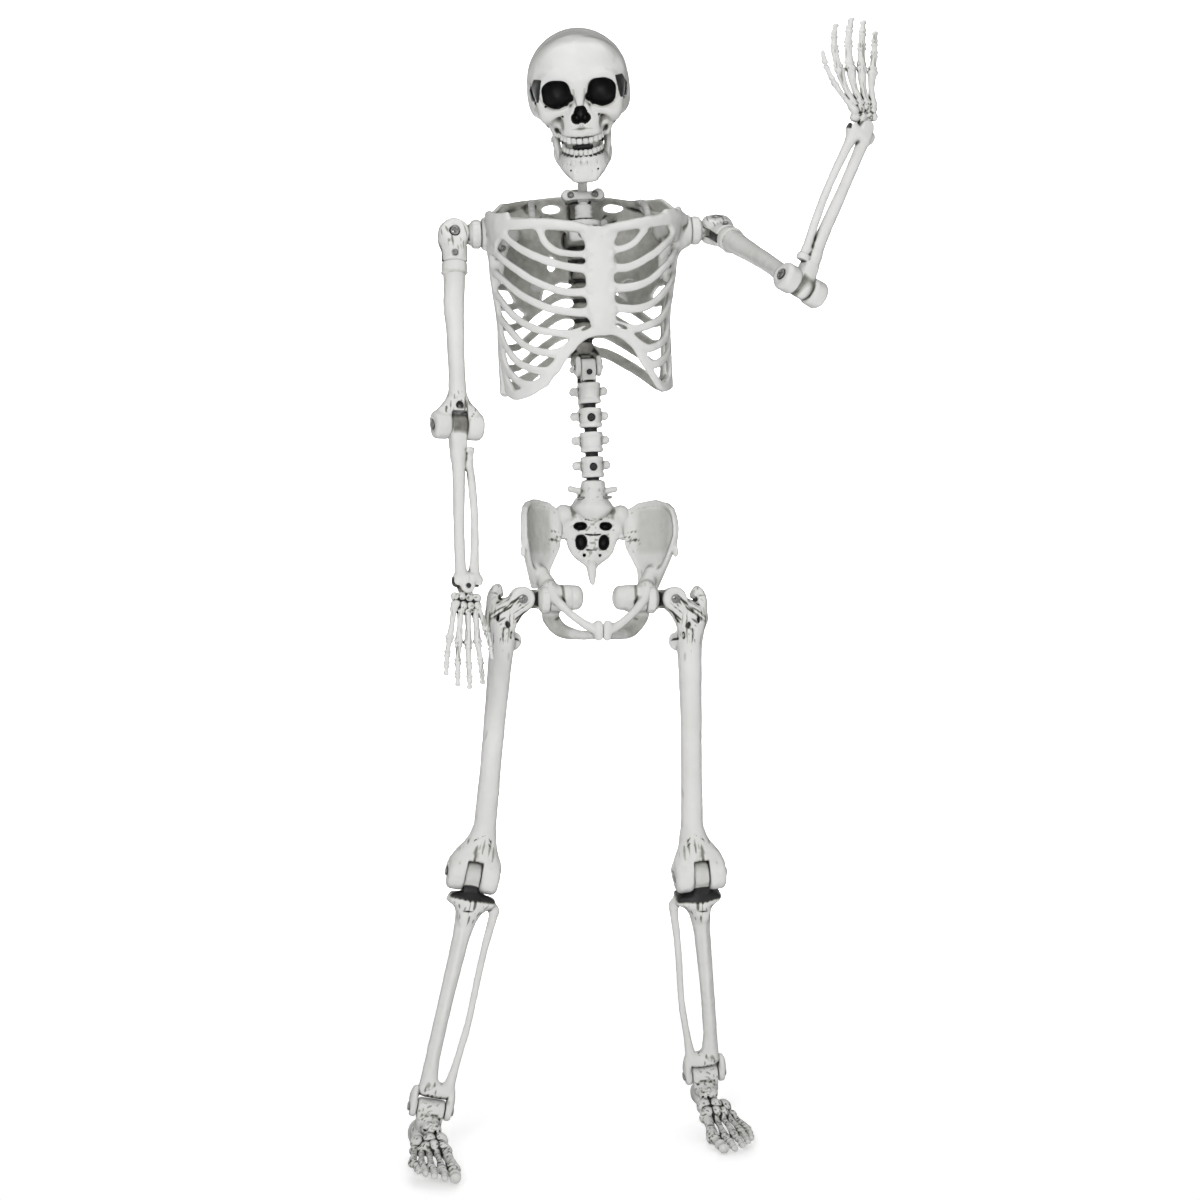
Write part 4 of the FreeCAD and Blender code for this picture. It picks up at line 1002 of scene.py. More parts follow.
# ------------------------------------------------------------------ head
def teeth(low, high, seed, arch, centre_y, z, sag, up, widths, lengths, gum, gum_sag):
    """One row of teeth on an elliptical arch; up is +1 where the roots point up.

    The wash darkens between the two gum heights; gum_sag is the gum's (rise, half width)."""
    vol = Volume(low, high, 0.62)
    rng = np.random.default_rng(seed)
    for side in BOTH:
        reached = 0.0
        for width, length in zip(widths, lengths):
            step = width * 2.08 / (0.5 * (arch[0] + arch[1])) * 57.3
            centre = reached + step / 2
            reached += step
            angle = math.radians(side * centre)
            x, y = arch[0] * math.sin(angle), centre_y - arch[1] * math.cos(angle)
            heading = math.degrees(math.atan2(math.sin(angle) / arch[0],
                                              math.cos(angle) / arch[1]))
            tooth_z = z + sag * (centre / 90.0) ** 2 + rng.uniform(-0.35, 0.35)
            frame = turn("z", heading + rng.uniform(-4, 4))
            vol.box((x, y, tooth_z), (width * 0.95, 2.7, length), 2.1, 0.35, frame=frame)
            vol.ball((x, y - 0.2, tooth_z - up * length * 0.35),
                     (width * 1.0, 3.2, length * 0.75), 1.0, frame=frame)
            vol.ball((x, y + 1.2, tooth_z + up * (length + 1.5)), (width * 0.80, 2.8, 4.5), 1.4)

    def roots(x, y, z, wash_and_shade):
        gum_z = z - gum_sag[0] * (x / gum_sag[1]) ** 2
        return np.clip(wash_and_shade * 4.0 + 0.75 * ease(gum[0], gum[1], gum_z), 0, 1.1)
    return vol.skin(roots)


def upper_teeth():
    return teeth((-36, -94, -82), (36, -48, -54), seed=5, arch=(30.5, 29.5), centre_y=-59.5,
                 z=-70.2, sag=8.0, up=1.0, widths=[4.1, 3.7, 3.9, 3.8, 3.8, 4.2, 4.6],
                 lengths=[4.4, 4.0, 4.6, 4.0, 3.8, 3.6, 3.4], gum=(-68.0, -65.0),
                 gum_sag=(6.0, 30.0))


def lower_teeth():
    return teeth((-33, -90, -102), (33, -46, -76), seed=6, arch=(27.5, 28.0), centre_y=-57.5,
                 z=-87.0, sag=6.0, up=-1.0, widths=[3.3, 3.4, 3.7, 3.7, 3.8, 4.2, 4.4],
                 lengths=[4.0, 4.0, 4.4, 4.0, 3.8, 3.6, 3.4], gum=(-89.5, -92.0),
                 gum_sag=(5.0, 28.0))


def skull():
    vol = Volume((-3, -100, -84), (78, 98, 84), 1.4)
    vol.balls(((0, 14, 6.5), (74.3, 79, 74.4), 0), ((0, -26, 12), (62, 62, 60), 16),
              ((24, -60, 40), (20, 20, 20), 14),
              # side wall down to the root of the arch and forward to the socket
              ((60, -6, -12), (13, 34, 28), 12), ((52, -42, 2), (14, 27, 31), 12))
    # brow and orbit rim
    vol.tube([(2, -88, 7), (14, -91, 16), (31, -90, 20.5), (47, -80, 14), (54, -69, 0),
              (53, -66, -16)], [5.4, 5.4, 5.0, 5.6, 5.6, 6.4], 10, steps=4)
    vol.balls(((0, -82, 12), (12, 10, 12), 8), ((0, -46, 24), (60, 38, 40), 26),
              # cheek bone, then the arch
              ((46, -67, -32), (13.5, 13, 15), 7))
    vol.tube([(53, -64, -18), (47, -71, -32), (34, -79, -29), (21, -82, -24)],
             [7.4, 9.0, 7.0, 5.5], 6, steps=4)
    vol.tube([(50, -62, -31), (61, -46, -31), (67.0, -22, -27), (69, 4, -18)],
             [9.2, 7.4, 6.2, 6.6], 5, steps=4, flat=(1, 0, 0), ratio=0.72)
    # upper jaw: broad and closed back to the jaw hinge
    vol.balls(((3, -72, -44), (24, 18, 20), 8), ((16, -78, -46), (12, 10, 16), 7),
              ((0, -60, -56), (31.5, 28, 12.5), 7))
    vol.tube([(0, -88.5, -60), (15, -84, -59.5), (26, -72, -58), (31, -56, -56)],
             [4.6, 4.6, 4.6, 4.4], 4, steps=4)
    vol.box((22, -34, -52), (17.5, 26, 16), 8, 6)
    vol.balls(((36, -52, -46), (11, 15, 16), 8), ((44, 22, -44), (11, 15, 17), 9),
              ((26, 42, -44), (28, 28, 18), 12))
    # nose bridge and edges of the opening
    vol.cone((0, -87, 2), (0, -92.5, -17), 6.5, 5.6, 6)
    vol.tube([(7, -86, -20), (13.5, -85, -35), (12, -86, -46)], [4.2, 3.6, 3.6], 4)
    # hollows
    vol.box((62.5, -48, 2), (7, 8, 12.5), 3, 1.0, CUT, turn("y", 22) @ turn("z", 18))
    vol.ball((61, -42, -17), (4.0, 18, 3.6), 2, CUT)
    vol.ball((32.4, -84, -2.4), (20.6, 30, 20.2), 1.4, CUT, turn("y", 8))
    vol.box((32.6, -84, -2.4), (18.4, 24, 17.6), 12, 2.5, CUT, turn("y", 8) @ turn("z", -8))
    vol.balls(((14.5, -84, -9), (6.0, 14, 6), 3), ((5.6, -92, -37.6), (7.6, 19, 7.4), 2.0),
              ((0, -95, -30.5), (8.6, 20, 10.2), 2.5), ((26, -86, -35), (2.2, 9, 2.0), 0.8),
              ((49, -76, -20), (1.3, 9, 1.2), 0.6), ((32, -79, -46), (6.5, 7, 8), 6),
              ((37, -67, -60), (6, 9, 9), 5),
              ((9, -95.5, -60), (1.5, 4.6, 6.0), 1.6), ((18, -93.9, -60), (1.5, 4.6, 6.0), 1.6),
              ((26, -90.3, -60), (1.5, 4.6, 6.0), 1.6), cut=CUT)
    vol.cone((0, -85, -47), (0, -92, -48.5), 4, 2.0, 2.5)
    vol.mirror()
    # roof of the mouth
    vol.drum((0, -57, -71), "z", 24.6, 13.5, 5, 3)
    # block behind the mouth, filling the gap between the jaw's branches, painted dark as shade
    vol.box((0, -12, -69), (31, 5, 15), 4, 4)
    vol.ball((0, 6, -92), (31, 40, 26), 8, CUT)
    # wavy seams between the skull plates
    phase = np.random.default_rng(3).uniform(0, 6.28, 8)

    def wave(t):
        return (1.8 * np.sin(t * 0.33 + phase[0]) + 1.1 * np.sin(t * 0.83 + phase[1])
                + 0.7 * np.sin(t * 1.7 + phase[2]))
    x, y, z = np.ix_(*vol.axes)
    vol.groove(y + 14 - 0.10 * np.abs(x) - 0.25 * (z - 60) - wave(x + z * 0.7), z > 8)
    vol.groove(x - wave(y), (z > 40) * (y > -14.0))
    vol.groove(y - 66 + 0.55 * np.abs(x) + 0.35 * (z - 30) - wave(x), (z > -20) * (y > 20))
    vol.noise(0.6, 34, 91)
    vol.noise(0.35, 9, 92)
    return vol


def paint_brow(x, y, z, wash_and_shade):
    return wash_and_shade * (1 - 0.85 * ease(18, 26, z) * (y < -40))


# Painted shade under the face, in the gap between the jaws and on the block behind the mouth.
def shade_lower_skull(x, y, z, wash_and_shade):
    x = np.abs(x)
    wash_and_shade = np.where((z < -52) & (y < -48), wash_and_shade * 1.4 + 0.06, wash_and_shade)
    wash_and_shade = np.maximum(wash_and_shade, 0.55 * ease(-44, -58, z) * ease(-56, -44, y) * (x < 60))
    mouth = ease(15.5, 14.0, x) * ease(-74.5, -75.5, z + 0.012 * x * x) * (y < -40)
    back = (0.62 * (z < -60) * (y > -24) * (x < 33)
            + 0.30 * (z < -66) * (y < -30) * (np.hypot(x / 26.0, (y + 57) / 26.0) < 1.0))
    return np.maximum(np.maximum(wash_and_shade, back), 1.2 * mouth)


def paint_eye_rim(x, y, z, wash_and_shade):
    out = np.hypot((np.abs(x) - 32.4) / 1.10, z + 2.2)
    return wash_and_shade + 0.22 * np.exp(-((out - 22.5) / 2.2) ** 2) * (y < -66) * (z < 4)


# Painted shade: the eye sockets are filled dark for the unlit inside of the skull.
def shade_eye_sockets(x, y, z, wash_and_shade):
    across, up = np.abs(x) - 32.4, z + 2.2
    cos, sin = math.cos(math.radians(8)), math.sin(math.radians(8))
    wide, tall = (across * cos + up * sin) / 19.6, (-across * sin + up * cos) / 19.4
    out = (np.abs(wide) ** 2.4 + np.abs(tall) ** 2.4) ** (1 / 2.4)
    notch = np.hypot((np.abs(x) - 14.5) / 6.0, (up + 6.8) / 6.0)
    inside = ease(1.13, 1.05, np.minimum(out, notch + 0.04))
    edge = -86.5 + 12.5 * ease(6, 20, across)
    return np.maximum(wash_and_shade, 1.35 * inside * ease(edge, edge + 1.6, y) * (y < -40))


# Painted shade: the nose opening is filled dark for the unlit inside of the skull.
def shade_nose_opening(x, y, z, wash_and_shade):
    x = np.abs(x)
    nostril = np.hypot((x - 5.6) / 7.8, (z + 37.6) / 7.6)
    middle = np.hypot(x / 8.8, (z + 30.5) / 10.4)
    inside = ease(1.12, 1.02, np.minimum(nostril, middle))
    return np.maximum(wash_and_shade, 1.35 * inside * (y < -50) * (y > -90.5))


# Painted shade: a dark patch on each temple opening for the unlit inside of the skull.
def shade_temple_openings(x, y, z, wash_and_shade):
    up = (z - 2) / 15.5
    across = np.abs(np.abs(x) - (63.0 - 5.0 * up)) / (7.4 - 2.0 * up)
    return np.maximum(wash_and_shade, 1.2 * (ease(1.05, 0.97, np.abs(up)) * ease(1.06, 0.94, across)
                                   * (y < -38)))


SKULL_PAINTS = (paint_brow, shade_lower_skull, paint_eye_rim, shade_eye_sockets, shade_nose_opening,
                shade_temple_openings)


def jaw():
    vol = Volume((-50, -96, -142), (50, 24, -42), 1.2)
    for side in BOTH:
        # body: tall front, running back to the angle
        vol.tube([(0, -80, -116), (side * 13, -79, -116.5), (side * 23, -69, -112),
                  (side * 31, -50, -105), (side * 35.5, -28, -99), (side * 37, -8, -93)],
                 [14.0, 13.6, 12.4, 11.4, 10.4, 9.6], 5, steps=4, ratio=0.55,
                 flat=([(0, 1, 0)] * 4 + [(0.55 * side, 0.85, 0)] * 4 + [(side, 0.5, 0)] * 4
                       + [(side, 0.15, 0)] * 8))
        vol.tube([(0, -81.5, -98), (side * 13.5, -79, -98), (side * 24, -68, -96.5),
                  (side * 28.5, -50, -93.5), (side * 34, -30, -91)],
                 [6.6, 6.6, 6.2, 6.0, 5.8], 5, steps=4)
        vol.ball((side * 10, -84, -124), (13, 7.5, 7.5), 6)
        # upright branch
        vol.plate((side * 38.0, -4, -80), (0, 1, 0),
                  [(-26, -20), (13, -16), (14, 4), (12, 20), (5, 19), (-3, 12), (-12, 15),
                   (-19, 24), (-24, 20), (-25, -2), (-38, -12), (-40, -20)], 6.4, 4, rim=1.0)
        vol.ball((side * 39.0, 8, -60), (6.5, 5.5, 5.5), 4)
        vol.drum((side * 39.0, 0, -76), "x", 9.5, 4.4, 2, 2)
        vol.tube([(side * 38, -26, -60), (side * 37, -36, -78), (side * 33, -46, -94)],
                 [4.6, 5.2, 5.0], 4)
    vol.ball((0, -83, -122), (15, 7, 9), 6)
    vol.ball((0, -50, -103), (21, 20, 22), 4, CUT)
    vol.ball((0, -42, -124), (25, 27, 22), 5, CUT)
    for side in BOTH:
        vol.ball((side * 21, -82, -111), (1.7, 6, 1.6), 0.8, CUT)
        vol.ball((side * 11, -95, -110), (8, 4.2, 4.0), 5, CUT)
        for i, x in enumerate((5.5, 13, 20)):
            vol.ball((side * x, -89.5 + 1.2 * i * i, -101), (1.4, 3.4, 5.5), 1.6, CUT)
    vol.noise(0.4, 22, 101)
    vol.noise(0.28, 7, 102)

    def paint(x, y, z, wash_and_shade):
        # painted shade: dark inside the tooth arch, on the inner flanks and towards the underside of
        # the chin
        x = np.abs(x)
        inner = (np.hypot(x / 25.0, (y + 57.5) / 25.0) < 1.0) * (y < -36) * (z > -112)
        flank = 0.30 * ease(-66, -54, y) * ease(36.5, 34.5, x)
        return np.maximum(wash_and_shade + flank + 0.10 * ease(-118, -129, z), 1.2 * inner)
    points, faces, wash_and_shade = vol.skin(paint)
    # narrow the chin and flatten its underside
    points[:, 0] *= 1 - 0.26 * ease(-99, -134, points[:, 2]) * ease(-20, -50, points[:, 1])
    points[:, 2] = np.where(points[:, 2] < -127, -127 + 0.45 * (points[:, 2] + 127), points[:, 2])
    return points, faces, wash_and_shade


# ------------------------------------------------------------------ rib cage
# The shell is flat in front and behind and half round at each side. Keys are the sign of x.
SHELL_RADIUS = 82.5
SHELL_FLAT = {-1: 52.0, 1: 30.0}
SHELL_LENGTH = {side: SHELL_FLAT[side] * 2 + math.pi * SHELL_RADIUS for side in BOTH}
# widening over z 1190 to the middle height, and on from 1300 to 1340
SHELL_FLARE = {-1: (8, 1290, 4), 1: (15, 1300, 8)}


def shell_coords(x, y, z):
    """Distance from the shell's middle surface, and arc length from the breast bone."""
    found = []
    for side in BOTH:
        flat = SHELL_FLAT[side]
        first, height, second = SHELL_FLARE[side]
        wide = flat + SHELL_RADIUS
        flare = (wide + first * ease(1190, height, z) + second * ease(1300, 1340, z)) / wide
        out = np.maximum(side * x, 0) / flare
        past = np.maximum(out - flat, 0)
        radius = np.sqrt(past * past + y * y)
        arc = np.where(out <= flat, np.where(y < 0, out, SHELL_LENGTH[side] - out),
                       flat + SHELL_RADIUS * np.arctan2(past, -y))
        found.append((radius - SHELL_RADIUS, side * arc))
    return [np.where(x > 0, plus, minus).astype(np.float32) for minus, plus in zip(*found)]


class Sheet:
    """Flat pattern of the rib cage: arc length from the breast bone against height."""

    def __init__(self):
        self.arcs = np.arange(-372, 330, 1.0)
        self.heights = np.arange(1074, 1412, 1.0)
        self.dist = np.full((len(self.arcs), len(self.heights)), 30.0)
        self.across, self.up = self.arcs[:, None], self.heights[None, :]

    def bar(self, points, width, blend):
        path, widths = smooth_path(points, width, 5)
        best = np.full(self.dist.shape, 99.0)
        for start, end, width0, width1 in zip(path[:-1], path[1:], widths[:-1], widths[1:]):
            along = end - start
            across, up = self.across - start[0], self.up - start[1]
            t = np.clip((across * along[0] + up * along[1]) / (float(along @ along) + 1e-9), 0, 1)
            best = np.minimum(best, np.hypot(across - t * along[0], up - t * along[1])
                              - (width0 + (width1 - width0) * t))
        self.dist = smooth_min(self.dist, best, blend)

    def polygon(self, points, blend=0, radius=4.0, cut=False):
        new = polygon_distance(self.across, self.up, np.array(points, float)) - radius
        self.dist = np.maximum(self.dist, -new) if cut else smooth_min(self.dist, new, blend)

    def hole(self, arc, z, wide, tall, tilt=0.0):
        cos, sin = math.cos(math.radians(tilt)), math.sin(math.radians(tilt))
        across, up = self.across - arc, self.up - z
        out = np.hypot((across * cos + up * sin) / wide, (-across * sin + up * cos) / tall)
        self.dist = np.maximum(self.dist, -((out - 1) * min(wide, tall)))

    def wrap(self, vol, thick, edge, blend):
        """Lay the pattern on the shell as a rounded sheet."""
        def shape(x, y, z):
            level, arc = shell_coords(x, y, z)
            i = np.clip(arc - self.arcs[0], 0, len(self.arcs) - 2.01)
            j = np.clip(z - self.heights[0], 0, len(self.heights) - 2.01) + 0 * i
            i0, j0 = i.astype(np.int32), j.astype(np.int32)
            part_i, part_j = i - i0, j - j0
            dist = self.dist
            lower = dist[i0, j0] * (1 - part_i) + dist[i0 + 1, j0] * part_i
            upper = dist[i0, j0 + 1] * (1 - part_i) + dist[i0 + 1, j0 + 1] * part_i
            pattern = lower * (1 - part_j) + upper * part_j
            solid = rounded(edge, pattern + edge, np.abs(level) - thick / 2.0 + edge)
            return np.minimum(solid, FAR).astype(np.float32)
        vol.put(shape, (vol.axes[0][0], vol.axes[1][0], 1078),
                (vol.axes[0][-1], vol.axes[1][-1], 1408), blend)


# front ribs from the top, on the sheet: (arc length, z); the figure's right ribs come first
RIBS = [
    [[(-12.0, 1287.6), (-33.6, 1288.0), (-55.0, 1292.7), (-69.1, 1306.0), (-74.1, 1321.9)],
     [(-12.9, 1266.3), (-37.3, 1269.6), (-63.8, 1277.4), (-97.6, 1294.8), (-121.6, 1314.1),
      (-135.6, 1330.5)],
     [(-14.7, 1233.7), (-37.1, 1233.5), (-57.6, 1237.5), (-88.2, 1252.1), (-121.6, 1277.0),
      (-151.3, 1298.6), (-178, 1312)],
     [(-13.4, 1204.5), (-40.4, 1205.9), (-73.9, 1213.4), (-109.1, 1233.5), (-145.6, 1263.2),
      (-178, 1282)],
     [(-23.2, 1178.5), (-43.4, 1174.8), (-60.4, 1176.7), (-95.0, 1185.2), (-130.1, 1208.1),
      (-160.6, 1238.1), (-180, 1250)],
     [(-44.2, 1156.3), (-58.8, 1149.7), (-77.3, 1149.1), (-110.7, 1162.5), (-148, 1195),
      (-178, 1217)],
     [(-65.4, 1128.7), (-78.4, 1123.7), (-97.7, 1127.2), (-128.8, 1142.9), (-160.0, 1174),
      (-180, 1189)],
     [(-82.0, 1108.3), (-98.8, 1105.3), (-119.0, 1109.8), (-144, 1127), (-164, 1150),
      (-180, 1160)]],
    [[(18.2, 1292.6), (34.9, 1295.1), (49.6, 1303.7), (61.0, 1319.7)],
     [(19.0, 1267.0), (39.9, 1268.0), (60.7, 1277.7), (90.9, 1297.6), (115.0, 1317), (132, 1334)],
     [(21.4, 1238.5), (46.3, 1239.6), (73.6, 1250.4), (105.8, 1276.1), (138, 1299), (160, 1310)],
     [(26.8, 1210.0), (50.2, 1208.4), (77.0, 1215.7), (108.9, 1237.6), (140, 1262), (160, 1274)],
     [(23.2, 1185.9), (43.4, 1181.3), (65.2, 1183.0), (103.3, 1198.2), (138, 1226), (160, 1240)],
     [(45.7, 1165.6), (61.1, 1155.8), (77.1, 1153.4), (110.4, 1167.1), (138, 1192), (160, 1208)],
     [(63.6, 1138.7), (75.8, 1130.4), (95.6, 1134.3), (125, 1150), (150, 1173), (162, 1182)]]]
# collar lines, lower margins and side posts on the sheet: points, half widths, blend
FRONT_BARS = [
    ([(-8, 1318), (-27, 1326), (-73, 1331), (-116, 1335), (-150, 1345)],
     [8, 6.5, 6.4, 8, 11], 6),
    ([(12, 1317), (22, 1323.5), (44.5, 1328), (76, 1334), (112, 1345)],
     [8, 6.5, 6.4, 8, 11], 6),
    ([(-3, 1180), (-23, 1174), (-42, 1158.5), (-59, 1136.5), (-80, 1112.5), (-104, 1097.5),
      (-132, 1094), (-150, 1104)], [8, 7.5, 7, 7, 7, 7, 7.5, 7.5], 6),
    ([(9, 1180), (20, 1179), (33, 1172), (47, 1160), (59, 1141.4), (73, 1121), (87, 1105),
      (103, 1099), (122, 1104)], [8, 7.5, 6.5, 5.6, 5.4, 5.4, 6, 7.5, 7.5], 6),
    ([(-166, 1348), (-174, 1318), (-176, 1280), (-175, 1240), (-172, 1200), (-166, 1160),
      (-158, 1125), (-146, 1102)], [15, 12, 7.5, 6.5, 6.2, 6.2, 6.4, 7], 8),
    ([(140, 1350), (152, 1322), (156, 1285), (155, 1240), (150, 1200), (146, 1160),
      (138, 1125), (120, 1104)], [15, 12, 7.5, 6.5, 6.2, 6.2, 6.4, 7], 8)]
# shoulder blade field of the rear half: (arc length from the back's middle, z)
REAR_FIELD = [(-2, 1394), (30, 1393), (64, 1388), (112, 1384), (138, 1366), (146, 1330),
              (130, 1300), (118, 1272), (92, 1232), (78, 1226), (60, 1262), (30, 1276),
              (-2, 1270)]


def rear_sheet(sheet, side):
    length = SHELL_LENGTH[side]
    split = SHELL_FLAT[side] + SHELL_RADIUS * math.pi / 2 + 10
    reach = length - split

    def at(arc, z):
        return side * (length - arc), z

    def rear(*points):
        return [at(*point) for point in points]
    # edge post of the front half, meeting the rear one at the seam
    sheet.bar([(side * (split - 8), z) for z in (1345, 1300, 1250, 1200)]
              + [(side * (split - 11), 1150), (side * (split - 17), 1108)],
              [12, 8.5, 8, 8, 7.5, 7.5], 6)
    sheet.bar(rear((0, 1090), (0, 1240), (0, 1400)), 13, 6)
    for z in (1262, 1232, 1202, 1172, 1142, 1114):
        sheet.bar(rear((6, z + 50), (34, z + 50), (70, z + 28), (105, z + 4), (reach - 26, z),
                       (reach - 4, z + 4)), [6.4, 6.4, 6.2, 5.6, 5.4, 5.4], 5)
    sheet.bar(rear((reach - 9, 1345), (reach - 8, 1300), (reach - 8, 1250), (reach - 9, 1200),
                   (reach - 12, 1150), (reach - 20, 1112)), [14, 9, 6.5, 6.2, 6.2, 6.8], 7)
    sheet.bar(rear((6, 1172), (40, 1160), (80, 1136), (reach - 34, 1110), (reach - 14, 1110)),
              [6, 6, 6.2, 6.6, 6.8], 5)
    sheet.polygon(rear(*REAR_FIELD), 5)
    sheet.hole(*at(38 if side < 0 else 44, 1381), 12.0, 6.2)
    sheet.hole(*at(42, 1300), 6.5, 11.0)
    sheet.hole(*at(66, 1266), 9.0, 6.0)
    sheet.hole(*at(100, 1350), 9, 5, 20 * side)


def chest_sheet():
    sheet = Sheet()
    sheet.bar([(3.5, 1312), (3.0, 1279), (2.4, 1236), (3.6, 1205), (4.2, 1189)],
              [20, 19, 19.5, 21, 16], 7)
    for ribs in RIBS:
        for i, rib in enumerate(ribs):
            taper = [6.4 - 1.3 * min(1.0, j / 4.0) for j in range(len(rib))]
            sheet.bar(rib, taper if i else 5.0, 7.0)
    for points, widths, blend in FRONT_BARS:
        sheet.bar(points, widths, blend)
    sheet.polygon([(-120, 1350), (-128, 1326), (-150, 1312), (-172, 1318), (-172, 1350)], 8)
    sheet.polygon([(96, 1350), (108, 1330), (130, 1316), (150, 1318), (152, 1350)], 8)
    sheet.hole(-19, 1183, 9.5, 2.4, 24)
    sheet.hole(30, 1184, 9.5, 2.4, -22)
    sheet.polygon([(-6, 1345), (12, 1345), (9, 1328), (3, 1322), (-3, 1328)], radius=1.5, cut=CUT)
    for side in BOTH:
        rear_sheet(sheet, side)
    return sheet


def chest():
    vol = Volume((-158, -108, 1078), (158, 112, 1404), 1.75)
    chest_sheet().wrap(vol, thick=7.6, edge=3.4, blend=2.0)
    # breast bone and cartilage relief
    vol.cone((4, -85.5, 1312), (4, -86.5, 1192), 15, 15, 5, (0, 1, 0), 0.30)
    for side in BOTH:
        vol.ball((4 + side * 15, -84, 1314), (11, 5, 9), 5)
        for z in (1289, 1268, 1236, 1207):
            vol.ball((4 + side * 15, -86.5, z), (6, 3.6, 5.0), 3)
    # collar bones stand proud of the shell
    for points in ([(-8, -83, 1318), (-24, -86, 1325), (-62, -84, 1331), (-92, -72, 1334),
                    (-120, -46, 1340), (-138, -14, 1345)],
                   [(14, -83, 1318), (24, -86, 1323), (56, -82, 1330), (86, -68, 1336),
                    (116, -42, 1345), (136, -14, 1347)]):
        vol.tube(points, [8.0, 7.2, 6.8, 7.2, 9, 11], 4, steps=4)
    # straps over the top
    for points in ([(-88, -74, 1334), (-85, -42, 1354), (-79, 10, 1376), (-74, 60, 1386),
                    (-73, 80, 1380)],
                   [(78, -74, 1335), (82, -42, 1356), (86, 10, 1375), (88, 60, 1384),
                    (87, 80, 1378)]):
        vol.tube(points, [6.0, 5.2, 5.0, 5.2, 6], 5, steps=4)
    for side in BOTH:
        # upper rim of the rear plate
        flat = SHELL_FLAT[side]
        vol.tube([(side * 2, 84, 1398), (side * 40, 85, 1395), (side * (flat + 30), 79, 1390),
                  (side * (flat + 58), 58, 1380), (side * (flat + 74), 34, 1362),
                  (side * 138, 16, 1352)], [4.6, 4.4, 4.4, 4.6, 6, 9], 4, steps=4)
        # shoulder socket, blended into the side wall
        vol.drum((side * 137, SPLIT_Y, SHOULDER_Z), "x", 23.6, 17.6, 5, 3)
        vol.ball((side * 120, 8, 1336), (22, 24, 21), 14)
        vol.tube([(side * 132, 0, 1318), (side * (flat + 80), -8, 1290),
                  (side * (flat + 82), -6, 1262)], [17, 9, 5], 10)
        vol.tube([(side * 132, 22, 1350), (side * 118, 48, 1350), (side * 98, 70, 1342),
                  (side * 66, 92, 1330), (side * 42, 98, 1318)], [10, 8, 7, 6, 5], 5, steps=4)
        # shoulder blade on the back
        vol.plate((side * 74, 90, 1284), (side * 0.93, -0.34, 0),
                  [(-34, 60), (-18, 76), (4, 80), (20, 66), (40, 64), (46, 52), (30, 36),
                   (22, 4), (8, -44), (-4, -60), (-12, -52), (-26, 0)],
                  5.2, 3, bend=0.0022 * side, bend_up=0.0006 * side, rim=1.6)
        # waist ears
        vol.box((side * 15.5, 56, 1144), (4.0, 18, 13), 4, 2)
        vol.drum((side * 15.5, SPINE_Y, BEND_Z), "x", 13.8, 4.0, 2, 1.5)
        vol.tube([(side * 15.5, 66, 1150), (side * 8, 82, 1160)], [9, 10], 4)
    for x, z in ((-127, 1106), (106, 1107)):
        vol.drum((x, 8, z), "y", 8.2, 20, 2.5, 6)
    # spine column behind
    for i in range(9):
        z = VERTEBRA_TOP - VERTEBRA_PITCH * i
        vol.drum((0, 82, z), "z", 14.5, 11.5, 4, 1.5)
        vol.tube([(0, 94, z + 2), (0, 103, z - 6), (0, 106, z - 16)], [5.4, 4.2, 3.4], 2.5)
        for side in BOTH:
            vol.ball((side * 15, 86, z + 2), (9, 6, 6), 3)
    vol.drum((0, 82, 1254), "z", 10.0, 130, 3, 2)
    # neck seat
    vol.box((0, 50, 1333), (24, 38, 10.5), 6, 3)
    vol.drum((0, NECK_Y, 1333), "z", 22, 10.5, 4, 2)
    for side in BOTH:
        vol.tube([(side * 12, 30, 1336), (side * 30, 50, 1352), (side * 48, 78, 1366)],
                 [8, 6, 6], 5)
        vol.ball((side * 17, 20, 1338), (7, 9, 8), 4)
    vol.box((0, 44, 1128), (11.5, 26, 36), 1, 1, CUT)
    # socket bores, neck bore and waist bore
    for side in BOTH:
        vol.drum((side * 154, SPLIT_Y, SHOULDER_Z), "x", 10.6, 9, 0.5, 0.8, CUT)
        vol.drum((side * 157, SPLIT_Y, SHOULDER_Z), "x", 17, 3.6, 1, 1, CUT)
    vol.drum((0, NECK_Y, 1350), "z", 14.2, 26, 0.5, 0.5, CUT)
    vol.drum((0, SPINE_Y, BEND_Z), "x", 4.2, 40, 0.4, 0.4, CUT)
    vol.noise(0.45, 30, 111)
    vol.noise(0.32, 8, 112)
    return vol


def paint_chest(x, y, z, wash_and_shade):
    """Painted shade darkens the inside of the shell; the gaps between the vertebrae are dark, and
    the straps are kept light.
    """
    level, _ = shell_coords(x, y, z)
    # painted shade inside the shell, deepening towards the back
    inner = ease(-1.0, -4.0, level) * (level > -30)
    column = (np.abs(x) < 19) & (y > 62)
    cycle = (z - VERTEBRA_TOP + VERTEBRA_PITCH / 2) / VERTEBRA_PITCH
    off = np.abs((cycle + 0.5) % 1.0 - 0.5) * VERTEBRA_PITCH
    gap = column * ease(4.0, 1.6, off) * (y < 84)
    wash_and_shade = np.maximum(wash_and_shade + inner * (0.10 + 0.24 * ease(-10, 40, y))
                      + 0.10 * column * (y < 84), 1.05 * gap)
    rise = ease(-60, 60, y)
    strap_gap = np.minimum(np.abs(x - (-88 + 14 * rise)), np.abs(x - (79 + 9 * rise)))
    strap = (strap_gap < 8.5) & (z > 1334) & (y < 50)
    return np.where(strap, np.minimum(wash_and_shade, 0.10), wash_and_shade)


